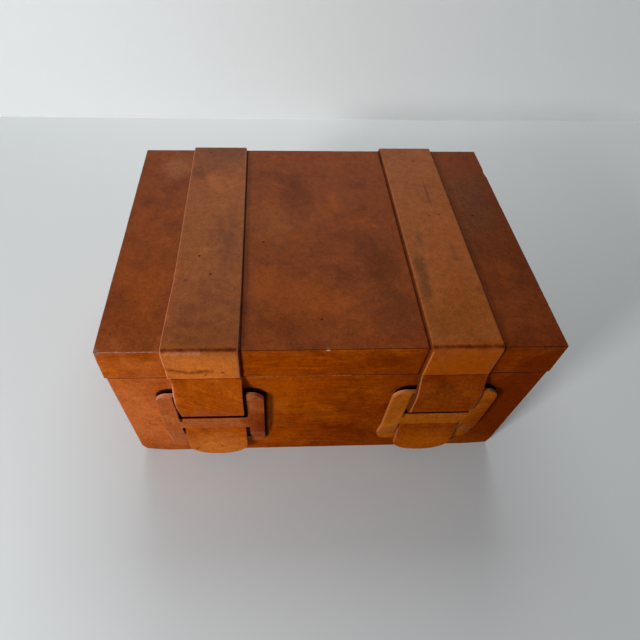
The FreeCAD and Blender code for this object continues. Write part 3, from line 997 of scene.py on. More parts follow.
def slot_marks(middle: float, left_shade: float, right_shade: float, line: float = 1.1) -> tuple[Mark, ...]:
    """Painted shade along a plate's upper slot, and beside the tail and its tip.

    Args:
        middle: Middle of the buckle along X, in millimetres.
        left_shade: How dark the painted shade is on the left.
        right_shade: How dark the painted shade is on the right.
        line: Half the height of the painted shade along the upper slot, in millimetres.

    Returns:
        Painted shade marks for the plate's leather.
    """
    return (Mark((middle, -96.5, 63.3 - line), (20.9, 8, line), reach=0.5, strength=1.0),
            Mark((middle - 20.7, -96.5, 72), (0.7, 8, 16), strength=left_shade),
            Mark((middle + 20.8, -96.5, 75), (0.9, 8, 14), strength=right_shade),
            Mark((middle - 20.5, -96.5, 41.5), (0.7, 8, 5), strength=left_shade),
            Mark((middle + 21.2, -96.5, 36.5), (1.1, 8, 9.5), strength=right_shade))


def tuck_mark(middle: float) -> Mark:
    """Painted shade where a tail dives into its slot."""
    return Mark((middle, -96, 63.8), (24, 9, 2.1), strength=1.0)


def top_patch(x: float, y: float, width: float, depth: float, colour: Colour, strength: float,
              ragged: float = 0.6) -> StainAndLight:
    """A patch on the lid's top, its place and half sizes in millimetres."""
    return StainAndLight((x, y, 128), (width, depth, 6), colour, strength, ragged)


COVER = LeatherFinish(
    "cover leather", tint(180, 88, 8), tint(152, 64, 3), tint(118, 42, 2), rub=tint(60, 14, 2),
    rub_share=0.9, top=(tint(144, 70, 24), tint(129, 61, 22), tint(106, 50, 26)), top_share=1.0,
    streak_share=0.6, speck_share=0.35, marks=(
        # painted shade in the gaps at the plates, and painted shadows beside the straps
        *outline_marks(-BUCKLE, 32.4, 0.8, 1.9), *outline_marks(BUCKLE, 31.2, 1.3, 0.9),
        Mark((-50.9, 0, 116), (0.35, 99, 14), reach=0.4, colour=tint(36, 12, 5), strength=0.75),
        Mark((50.9, 0, 116), (0.3, 99, 14), reach=0.4, colour=tint(36, 12, 5), strength=0.75),
        Mark((92.2, 0, 116), (0.4, 99, 14), reach=0.9, colour=tint(48, 16, 6), strength=0.45),
        # painted highlights on the lid's front edge and along the base's rim, and the seam's dark line
        Mark((-109.5, -93.7, 128.2), (16.5, 0.5, 0.1), 0.05, 0.35, tint(236, 180, 152), 0.4, 0.6),
        Mark((-20, -93.6, 101.7), (32, 0.6, 0.1), 0.05, 0.35, tint(214, 140, 88), 0.45, 0.9),
        Mark((-109, -93.6, 102.3), (18, 0.6, 0.2), 0.1, 0.3, tint(84, 28, 8), 0.6),
        Mark((78, -93.6, 102.1), (50, 0.6, 0.2), 0.1, 0.3, tint(40, 12, 4), 0.6)),
    stains=(
        # painted light and shade: the front lighter at its left and darker towards its right, the top darker
        # at its right
        StainAndLight((-135, -95, 55), (125, 30, 95), tint(210, 114, 60), 0.65, 0.4),
        StainAndLight((-30, -95, 85), (34, 20, 26), tint(180, 84, 8), 0.5, 0.5),
        StainAndLight((150, -95, 60), (215, 30, 150), tint(104, 37, 3), 0.9, 0.3),
        StainAndLight((28, -95, 20), (66, 30, 60), tint(108, 36, 2), 0.2, 0.5),
        StainAndLight((100, -95, 4), (50, 20, 18), tint(136, 66, 16), 0.5, 0.4),
        StainAndLight((135, 0, 129), (95, 150, 20), tint(84, 38, 16), 0.6, 0.3),
        # patches on the top
        top_patch(-16, 38, 16, 38, PURPLE, 0.6), top_patch(10, 31, 8, 24, ORANGE, 0.4),
        top_patch(-37, -45, 14, 22, ORANGE, 0.5), top_patch(-8, -58, 30, 24, ORANGE, 0.45),
        top_patch(35, -33, 16, 30, OLIVE, 0.6), top_patch(-105, -55, 14, 36, ORANGE, 0.3),
        top_patch(112, 33, 12, 20, PURPLE, 0.4), top_patch(111, -36, 10, 14, ORANGE, 0.2),
        top_patch(-24, -76, 30, 16, tint(116, 52, 8), 0.5, 0.5),
        top_patch(26, -14, 18, 26, tint(100, 46, 16), 0.45),
        top_patch(106, 32, 24, 64, tint(102, 59, 36), 0.55, 0.5),
        top_patch(38, -66, 26, 30, tint(94, 45, 20), 0.55, 0.5),
        top_patch(-102, 72, 18, 22, tint(154, 92, 54), 0.7, 0.5),
        top_patch(-34, 9, 22, 28, tint(150, 82, 38), 0.5),
        # patches and spots on the front
        StainAndLight((40, -95, 118), (44, 6, 14), tint(104, 38, 2), 0.55, 0.4),
        StainAndLight((-101, -95, 116), (22, 6, 12), tint(196, 104, 44), 0.5, 0.4),
        StainAndLight((93, -95, 12), (22, 6, 16), tint(146, 72, 20), 0.6, 0.4),
        StainAndLight((-4, -93.4, 127.9), (1.8, 1.2, 1.0), tint(236, 190, 160), 0.7, 0.2),
        StainAndLight((-126.6, -93.2, 128), (3, 3, 3), tint(132, 120, 112), 0.7, 0.3),
        StainAndLight((-115, -94, 45), (1.3, 4, 1.3), SOOT, 0.8, 0.2)))
# The light edge colours of the straps, tails and plates below are partly wear and partly a painted highlight.
STRAP_LEFT = LeatherFinish(
    "left strap leather", tint(164, 92, 46), tint(147, 81, 41), tint(118, 64, 38), rub=tint(214, 142, 108),
    rub_share=0.55, streak_draw=(1.0, 0.1, 0.1), streak_share=0.15, speck_share=0.5, stains=(
        StainAndLight((-71, -99, 112), (90, 13, 36), tint(208, 112, 42), 0.9, 0.3),
        StainAndLight((-71, -88, 132), (40, 22, 6), tint(112, 56, 22), 0.55, 0.5),
        StainAndLight((-71, 88, 132), (40, 34, 6), tint(112, 66, 42), 0.75, 0.5),
        # painted highlight along the left edge of the strap's front
        StainAndLight((-93.6, -95, 121), (1.3, 4, 17), tint(246, 200, 176), 0.75, 0.3),
        StainAndLight((-84, -45, 131), (2.2, 2.2, 3), tint(84, 44, 26), 0.6, 0.2),
        StainAndLight((-62, -20, 131), (16, 60, 5), tint(116, 70, 42), 0.35, 0.6)),
    # painted shade along the pressed crease, and a painted highlight below the front fold
    marks=tuple(Mark((x, -96, z), (2.2, 2, 0.5), 0.2, 2.3, tint(112, 46, 14), 0.45) for x, z in CREASE)
    + (Mark((-81, -96, 129), (9, 2, 0.5), 0.3, 0.9, tint(206, 140, 118), 0.35, 0.8),))
STRAP_RIGHT = LeatherFinish(
    "right strap leather", tint(170, 94, 46), tint(152, 83, 39), tint(126, 66, 32), rub=tint(190, 98, 46),
    rub_share=0.3, streak_draw=(1.0, 0.1, 0.1), streak_share=0.15, speck_share=0.6, stains=(
        StainAndLight((71, 75, 132), (40, 70, 6), tint(150, 84, 48), 0.5, 0.4),
        StainAndLight((71, -99, 104), (90, 13, 60), tint(164, 74, 0), 0.95, 0.2),
        StainAndLight((71, -70, 132), (40, 50, 6), tint(134, 68, 12), 0.55, 0.5),
        StainAndLight((57, -46, 131), (5, 36, 5), tint(92, 58, 34), 0.6, 0.9),
        StainAndLight((62, -8, 131), (3, 18, 5), tint(100, 62, 38), 0.5, 0.9),
        StainAndLight((81, -22, 131), (3, 14, 5), tint(104, 64, 40), 0.4, 0.9),
        StainAndLight((75, 76, 131), (2, 2, 3), tint(80, 40, 20), 0.7, 0.2),
        StainAndLight((77, 35, 131), (1.2, 16, 3), tint(104, 56, 34), 0.6, 0.8)),
    # painted shade on the strap's left side, and a painted highlight along its upper left edge
    marks=(Mark((51.1, 0, 117), (0.6, 99, 16), 0.1, 0.4, tint(72, 24, 8), 0.7),
           Mark((52.5, -96, 116), (0.3, 2, 12), 0.1, 0.3, tint(220, 126, 44), 0.5)))
TAIL_LEFT = LeatherFinish(
    "left tail leather", tint(188, 94, 18), tint(168, 74, 8), tint(126, 46, 4), rub=tint(218, 138, 88),
    rub_share=0.5, streak_turn=34, streak_draw=(0.14, 1.0, 1.0), streak_share=0.5, fleck=0.7, stains=(
        StainAndLight((-71, -100, 18), (40, 14, 30), tint(210, 118, 48), 0.7, 0.2),
        StainAndLight((-72, -100, 71), (30, 6, 7), tint(150, 72, 40), 0.4, 0.6),
        # painted highlight along the tail's left edge
        StainAndLight((-91.8, -98, 86), (1.8, 5, 30), tint(240, 176, 144), 0.8, 0.3),
        StainAndLight((-85.9, -100, 17.9), (1.6, 6, 1.2), SOOT, 0.9, 0.2),
        # a dark spot, then painted shade where the tail dives into its slot
        StainAndLight((-69, -100, 21), (1.8, 6, 0.9), tint(80, 28, 8), 0.8, 0.2)), marks=(tuck_mark(-BUCKLE),))
TAIL_RIGHT = LeatherFinish(
    "right tail leather", tint(152, 70, 6), tint(132, 54, 2), tint(102, 36, 2), rub=tint(196, 110, 50),
    rub_share=0.5, streak_turn=10, streak_draw=(0.14, 1.0, 1.0), streak_share=0.4, fleck=0.8, speck_share=0.5,
    stains=(StainAndLight((71, -100, 18), (40, 14, 30), tint(180, 88, 8), 0.75, 0.2),
            StainAndLight((58, -97, 92), (9, 6, 12), tint(166, 74, 6), 0.4, 0.4),
            StainAndLight((68, -100, 90), (20, 6, 14), tint(112, 58, 12), 0.35, 0.6)),
    # painted shade where the tail dives into its slot and on its left side, and a painted highlight along its
    # upper left edge
    marks=(tuck_mark(BUCKLE), Mark((51.1, -97, 84), (0.6, 8, 24), 0.1, 0.4, tint(64, 22, 6), 0.75),
           Mark((52.5, -98, 85), (0.3, 8, 19), 0.1, 0.3, tint(208, 134, 84), 0.5)))
PLATE_LEFT = LeatherFinish(
    "left plate leather", tint(194, 108, 56), tint(172, 88, 42), tint(132, 58, 24), rub=tint(222, 146, 112),
    rub_share=0.5, streak_draw=(1.0, 1.0, 0.15), stains=(
        # painted shade over the right arm
        StainAndLight((-36, -97, 50), (24, 14, 50), tint(112, 32, 1), 0.85, 0.3),
        # painted highlights at the top left corner and along the left edge
        StainAndLight((-99, -95.4, 86), (12, 2.4, 7), tint(252, 206, 180), 0.85, 0.2),
        StainAndLight((-104, -96, 55), (2, 3, 45), tint(240, 170, 136), 0.75, 0.3)),
    # painted shade in the upper slot and beside the tail and its tip
    marks=slot_marks(-BUCKLE, 0.85, 0.95, 1.6))
PLATE_RIGHT = LeatherFinish(
    "right plate leather", tint(186, 104, 28), tint(166, 86, 20), tint(128, 60, 12), rub=tint(214, 132, 70),
    rub_share=0.5, streak_draw=(1.0, 1.0, 0.15), stains=(
        # painted shade over the right arm
        StainAndLight((108, -97, 50), (24, 14, 50), tint(118, 44, 0), 0.75, 0.3),
        # painted highlight at the top left corner
        StainAndLight((43, -95.4, 86), (8, 2.4, 7), tint(240, 180, 140), 0.7, 0.2)),
    # painted shade in the upper slot and beside the tail and its tip
    marks=slot_marks(BUCKLE, 0.6, 0.4))
UNDERSIDE = LeatherFinish("underside leather", tint(96, 60, 40), tint(82, 48, 32), tint(66, 38, 26),
                          roughness=0.6)
SUEDE = SuedeFinish()
BRASS = MetalFinish("hinge brass", tint(206, 166, 94), tint(120, 84, 40))
STEEL = MetalFinish("pin steel", tint(196, 192, 186), tint(120, 114, 106), 0.25)
WOOD = WoodFinish()


@dataclass(frozen=True)
class Knock:
    """A dent in a corner or an edge, its push and reach in millimetres."""

    place: Vector
    push: Triple
    reach: float


@dataclass
class Cover:
    """Leather over the boards: skin, rim and the lip turned in over the rim."""

    body: Half
    edge_radius: float = 0.7 * MM
    corner_radius: float = 0.9 * MM
    rim_radius: float = 0.4 * MM
    cell: float = 6 * MM
    swell_size: float = 35 * MM
    swell_height: float = 0.25 * MM
    swell_clear: float = 2 * MM
    skin_depth: float = 0.4 * MM
    base_fullness: float = 1.3 * MM
    lid_fullness: float = 0.9 * MM
    lid_flare: float = 1.1 * MM
    seam_drop: float = 1.8 * MM
    step_run: float = 0.15 * MM
    step_play: float = 0.3 * MM
    knock_pick: float = 2.2 * MM
    lid_knock_y: float = 65 * MM
    edge_lean: float = 0.29
    hinge_play: float = 0.3 * MM
    barrel_play: float = 0.3 * MM
    floor_play: float = 0.05 * MM
    seat_clear: float = 4 * MM

    def __post_init__(self) -> None:
        """Read the sizes from the frame."""
        self.is_base = self.body is Half.BASE
        wall, pad = ("board", "base_floor_pad") if self.is_base else ("rail", "lid_pad")
        self.low, self.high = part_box(f"{self.body}_leather_cover")
        front_low, front_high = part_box(f"{self.body}_front_{wall}")
        lining_low, lining_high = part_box(f"{self.body}_lining_front")
        _, pad_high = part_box(pad)
        self.outer = Vector((self.high.x, self.high.y))
        self.board = Vector((front_high.x, -front_low.y))
        self.inner = Vector((pad_high.x, pad_high.y))
        self.room = Vector((lining_high.x, -lining_low.y))
        if self.is_base:
            self.rim_way, self.fullness = 1.0, self.base_fullness
            self.rim, self.closed, self.lip = self.high.z, self.low.z, lining_high.z
            self.board_rim, self.board_closed = front_high.z, front_low.z
        else:
            self.rim_way, self.fullness = -1.0, self.lid_fullness
            self.rim, self.closed, self.lip = self.low.z, self.high.z, lining_low.z
            self.board_rim, self.board_closed = front_low.z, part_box("lid_top_board")[1].z

    def build(self, material: bpy.types.Material) -> None:
        """Model and dress the cover.

        Args:
            material: Its finish.
        """
        piece = Workpiece.block(f"{self.body}_cover_leather", self.low, self.high)
        piece.pick(Part.EDGE, lambda middle, direction: abs(direction.z) > ALONG)
        piece.bevel(self.corner_radius, 4)
        piece.pick(Part.FACE, lambda middle, normal: normal.z * self.rim_way > ALONG)
        piece.widen(self.outer, self.inner)
        piece.extrude(z=self.lip - self.rim)
        piece.widen(self.inner, self.room)
        piece.extrude(z=self.board_rim - self.lip)
        piece.widen(self.room, self.board)
        piece.extrude(z=self.board_closed - self.board_rim)
        if self.is_base:
            self.open_underside(piece)
        self.round_edges(piece)
        piece.grid(Axis.X, -self.inner.x, self.inner.x, self.cell)
        piece.grid(Axis.Y, -self.inner.y, self.inner.y, self.cell)
        piece.grid(Axis.Z, self.low.z + self.cell / 2, self.high.z - self.cell / 2, self.cell)
        self.fill_out(piece)
        self.drop_seam(piece)
        self.wear_corners(piece)
        piece.close()
        piece.refine()
        piece.unevenness(self.swell_size, self.swell_height, self.on_skin)
        self.seat_hinges(piece)
        piece.mark("edge", self.edge_mark)
        piece.mark("top", lambda place, normal: 0.0 if self.is_base else max(0.0, normal.z))
        piece.settle(self.body.value, "cover_leather", material, f"{self.body}_leather_cover")

    def open_underside(self, piece: Workpiece) -> None:
        """Leave the middle of the underside open for its own sheet.

        Args:
            piece: The cover.
        """
        _, under_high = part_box("base_underside")
        opening = Vector((under_high.x + self.hinge_play, under_high.y + self.hinge_play))
        piece.pick(Part.FACE, lambda middle, normal: abs(middle.z - self.low.z) < NEAR and normal.z < -ALONG)
        piece.widen(self.outer, opening)
        piece.pick(Part.FACE, lambda middle, normal: abs(middle.z - self.board_closed) < NEAR)
        piece.widen(self.board, opening)
        piece.pick(Part.FACE, lambda middle, normal: abs(normal.z) > ALONG
                   and middle.length < 2 * self.board_closed)
        bpy.ops.mesh.bridge_edge_loops()

    def fill_out(self, piece: Workpiece) -> None:
        """Stand the sides out from the boards, the lid's most at its rim.

        Args:
            piece: The cover.
        """
        lean = math.atan2(self.lid_flare, self.high.z - self.low.z)
        for way in (-1, 1):
            piece.pick(Part.CORNER, lambda place, normal: place.x * way > self.board.x + self.skin_depth)
            bpy.ops.transform.translate(value=(way * self.fullness, 0, 0))
            if not self.is_base:
                bpy.ops.transform.rotate(value=way * lean, orient_axis="Y",
                                         center_override=(way * self.outer.x, 0, self.high.z))

    def round_edges(self, piece: Workpiece) -> None:
        """Round the outer edges and, less, the rim's.

        Args:
            piece: The cover.
        """
        def round_loop(half: Vector, z: float) -> Test:
            """A test for the edges of a loop round the box at a height.

            Args:
                half: Half width and half depth of the loop.
                z: Its height.

            Returns:
                The test.
            """
            def test(middle: Vector, direction: Vector) -> bool:
                """Whether the edge lies in the loop."""
                across_x = abs(middle.x) > half.x - self.corner_radius - NEAR
                across_y = abs(middle.y) > half.y - self.corner_radius - NEAR
                inside = abs(middle.x) < half.x + NEAR and abs(middle.y) < half.y + NEAR
                level = abs(middle.z - z) < NEAR and abs(direction.z) < 1 - ALONG
                return level and inside and (across_x or across_y)
            return test

        piece.pick(Part.EDGE, round_loop(self.outer, self.closed))
        piece.bevel(self.edge_radius, 4)
        for half in (self.outer, self.inner):
            piece.pick(Part.EDGE, round_loop(half, self.rim))
            piece.bevel(self.rim_radius, 3)

    def drop_seam(self, piece: Workpiece) -> None:
        """Turn the skin's rim down about the back, so that the seam shows lower at the front.

        Args:
            piece: The cover.
        """
        start = self.step_run / 3 if self.is_base else self.step_run / 3 + self.step_play
        skin = self.board + Vector((1, 1)) * (start + self.step_run)
        for inset in (start, start + self.step_run):
            piece.slice(Axis.Y, -self.board.y - inset)
            for way in (-1, 1):
                piece.slice(Axis.X, way * (self.board.x + inset))
        hidden = []
        for side in Side:
            strap_low, strap_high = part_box(f"lid_strap_{side}")
            hidden.append((strap_low.x - self.step_run, strap_high.x + self.step_run))
            for place in (*hidden[-1], strap_low.x + 4 * self.step_run, strap_high.x - 4 * self.step_run):
                piece.slice(Axis.X, place)

        def shows(place: Vector, normal: Vector) -> bool:
            """Whether a corner of the rim lies on the skin, clear of the straps."""
            front = place.y < NEAR - skin.y
            behind = front and any(low + NEAR < place.x < high - NEAR for low, high in hidden)
            outside = front or abs(place.x) > skin.x - NEAR
            return outside and not behind and abs(place.z - self.rim) < 2 * self.rim_radius

        piece.pick(Part.CORNER, shows)
        turn = math.atan2(self.seam_drop, 2 * self.outer.y)
        bpy.ops.transform.rotate(value=-turn, orient_axis="X", center_override=(0, self.outer.y, self.rim))

    def wear_corners(self, piece: Workpiece) -> None:
        """Push in the corners and edges that have been knocked.

        Args:
            piece: The cover.
        """
        x, y = self.outer
        if self.is_base:
            knocks = (Knock(Vector((-x, -y, self.low.z)), (2.0, 0.5, 1.7), 9.0),
                      Knock(Vector((x, -y, self.low.z)), (-0.8, 0.3, 0.7), 5.0))
        else:
            knocks = (Knock(Vector((x, self.lid_knock_y, self.high.z)), (-0.5, 0, -0.3), 2.6),
                      Knock(Vector((-x, -y, self.high.z)), (0.2, 0.2, -0.2), 4.0))
        for knock in knocks:
            piece.pick(Part.CORNER, lambda corner, normal: (corner - knock.place).length < self.knock_pick)
            piece.push(Vector(knock.push) * MM, knock.reach * MM)

    def on_skin(self, place: Vector, normal: Vector) -> bool:
        """Whether a corner lies on the outer skin, away from the rim and the foot.

        Args:
            place: Its place.
            normal: Not used.

        Returns:
            Whether it does.
        """
        away = abs(place.z - self.rim) > self.swell_clear and place.z > self.edge_radius
        side = abs(place.x) > self.board.x + NEAR or abs(place.y) > self.board.y + NEAR
        return away and (side or abs(place.z - self.closed) < self.edge_radius / 2)

    def edge_mark(self, place: Vector, normal: Vector) -> float:
        """How far a corner's normal leans between two faces, 1 on an edge's middle."""
        lean = 1.0 - max(abs(normal.x), abs(normal.y), abs(normal.z))
        return min(1.0, lean / self.edge_lean)

    def seat_hinges(self, piece: Workpiece) -> None:
        """Cut the seats of both hinges out of the rim at the back.

        Args:
            piece: The cover.
        """
        _, axis_y, axis_z = frame["joints"][0]["pos_m"]
        play = Vector((self.hinge_play, 0, 0))
        floor = self.board_rim - self.rim_way * self.floor_play
        beyond = self.rim + self.rim_way * self.seat_clear
        for side in Side:
            leaf_low, leaf_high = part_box(f"hinge_leaf_{self.body}_{side}")
            low = Vector((leaf_low.x, self.room.y, min(floor, beyond))) - play
            high = Vector((leaf_high.x, self.high.y + self.seat_clear, max(floor, beyond))) + play
            seat = Workpiece.block("seat_cutter", low, high)
            self.cut(piece, seat)
            Workpiece.clear()
            bpy.ops.mesh.primitive_cylinder_add(
                vertices=32, radius=leaf_high.y - axis_y + self.barrel_play, depth=high.x - low.x,
                location=((low.x + high.x) / 2, axis_y, axis_z), rotation=(0, math.pi / 2, 0))
            self.cut(piece, Workpiece(bpy.context.object, "barrel_cutter"))

    @staticmethod
    def cut(piece: Workpiece, tool: Workpiece) -> None:
        """Take one piece's shape out of another and throw the tool away.

        Args:
            piece: What is cut.
            tool: What cuts it, still open for editing.
        """
        tool.close()
        piece.apply("BOOLEAN", object=tool.item, operation="DIFFERENCE", solver="EXACT")
        bpy.data.objects.remove(tool.item)


@dataclass
class Belt:
    """A leather strap that follows a line seen from the side."""

    width: float
    thickness: float
    shoulder: float = 0.9 * MM
    cell: float = 3.5 * MM
    end_inset: float = 4 * MM
    swell_size: float = 22 * MM
    swell_height: float = 0.25 * MM
    fold_lean: float = 30
    fold_spread: float = 24

    def build(self, name: str, middle_x: float, line: list[tuple[float, float]],
              bends: Iterable[float]) -> Workpiece:
        """Model the strap along its middle line.

        Args:
            name: What the piece is called.
            middle_x: Middle of the strap along X.
            line: Places along Y and Z; the first run is upright.
            bends: How far from each place between the ends its rounding starts.

        Returns:
            The strap as a sheet.
        """
        (start_y, start_z), (_, end_z) = line[:2]
        piece = Workpiece.upright_sheet(name, middle_x, self.width, start_y, min(start_z, end_z),
                                        max(start_z, end_z))
        piece.pick(Part.EDGE, lambda middle, direction: abs(middle.z - end_z) < NEAR
                   and abs(direction.x) > ALONG)
        for (from_y, from_z), (to_y, to_z) in zip(line[1:], line[2:]):
            piece.extrude(y=to_y - from_y, z=to_z - from_z)
        for (y, z), bend in zip(line[1:-1], bends):
            place = Vector((middle_x, y, z))
            piece.pick(Part.EDGE, lambda middle, direction: (middle - place).length < NEAR)
            piece.bevel(bend, 8)
        return piece

    def finish(self, piece: Workpiece, middle_x: float, low: Vector, high: Vector,
               crease: float = 1.0) -> None:
        """Divide the sheet, give it its thickness and round its edges.

        Args:
            piece: The sheet.
            middle_x: Middle of the strap along X.
            low: Lowest corner of the strap.
            high: Highest corner of the strap.
            crease: How much the finish darkens at folds.
        """
        half = self.width / 2
        piece.grid(Axis.X, middle_x - half, middle_x + half, self.cell)
        piece.grid(Axis.Y, low.y + self.end_inset, high.y - self.end_inset, self.cell)
        piece.grid(Axis.Z, low.z, high.z, self.cell)
        piece.close()
        piece.thicken(self.thickness, self.shoulder, 3)
        piece.unevenness(self.swell_size, self.swell_height)
        piece.mark("edge", lambda place, normal: abs(normal.x))

        def fold_mark(place: Vector, normal: Vector) -> float:
            """How near a corner is to a fold's upper half, 1 at its middle."""
            lean = math.degrees(math.atan2(abs(normal.y), normal.z))
            near = math.exp(-((lean - self.fold_lean) / self.fold_spread) ** 2)
            return crease * near * (1.0 if abs(normal.x) < 0.5 else 0.0)

        piece.mark("fold", fold_mark)
        piece.mark("top", lambda place, normal: max(0.0, normal.z))


@dataclass
class LidStrap:
    """A strap over the lid, from its front rim to just over the hinge line at the back."""

    side: Side
    leather: float = 2.4 * MM
    cell: float = 2.6 * MM
    fold: float = 2.7 * MM
    crease_depth: float = 0.5 * MM
    crease_pick: float = 1.3 * MM
    crease_reach: float = 2.0 * MM
    front_stretch: float = 1.6 * MM
    stretch_reach: float = 60 * MM

    def build(self, material: bpy.types.Material) -> None:
        """Model and dress the strap.

        Args:
            material: Its finish.
        """
        low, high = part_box(f"lid_strap_{self.side}")
        back_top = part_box(f"back_strap_{self.side}")[1].z
        end = 2 * frame["joints"][0]["pos_m"][2] - back_top
        half = self.leather / 2
        line = [(low.y + half, low.z), (low.y + half, high.z - half), (high.y - half, high.z - half),
                (high.y - half, end)]
        middle_x = (low.x + high.x) / 2
        belt = Belt(high.x - low.x, self.leather, cell=self.cell)
        piece = belt.build(f"lid_belt_{self.side}", middle_x, line, (self.fold, self.fold))
        belt.finish(piece, middle_x, low, high)
        if self.side is Side.LEFT:
            self.crease(piece, low)
            self.stretch(piece, low)
        piece.settle("lid", "strap_leather", material, f"lid_strap_{self.side}")

    def crease(self, piece: Workpiece, low: Vector) -> None:
        """Press in the crease across the strap's front.

        Args:
            piece: The strap.
            low: Its lowest corner.
        """
        piece.open()
        for x, z in CREASE:
            place = Vector((x * MM, low.y, z * MM))
            piece.pick(Part.CORNER, lambda corner, normal: (corner - place).length < self.crease_pick)
            piece.push(Vector((0, self.crease_depth, 0)), self.crease_reach)
        piece.close()

    def stretch(self, piece: Workpiece, low: Vector) -> None:
        """Draw out the strap's left edge, which has stretched at the front fold.

        Args:
            piece: The strap.
            low: Its lowest corner.
        """
        piece.open()
        piece.pick(Part.CORNER, lambda corner, normal: corner.x < low.x + self.leather / 4
                   and corner.y < low.y + self.leather + NEAR)
        piece.push(Vector((-self.front_stretch, 0, 0)), self.stretch_reach)
        piece.close()


@dataclass
class BackStrap:
    """A strap down the back of the base."""

    side: Side

    def build(self, material: bpy.types.Material) -> None:
        """Model and dress the strap.

        Args:
            material: Its finish.
        """
        low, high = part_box(f"back_strap_{self.side}")
        middle_x = (low.x + high.x) / 2
        belt = Belt(high.x - low.x, high.y - low.y)
        piece = Workpiece.upright_sheet(f"back_belt_{self.side}", middle_x, belt.width, (low.y + high.y) / 2,
                                        low.z, high.z)
        belt.finish(piece, middle_x, low, high)
        piece.settle("base", "strap_leather", material, f"back_strap_{self.side}")


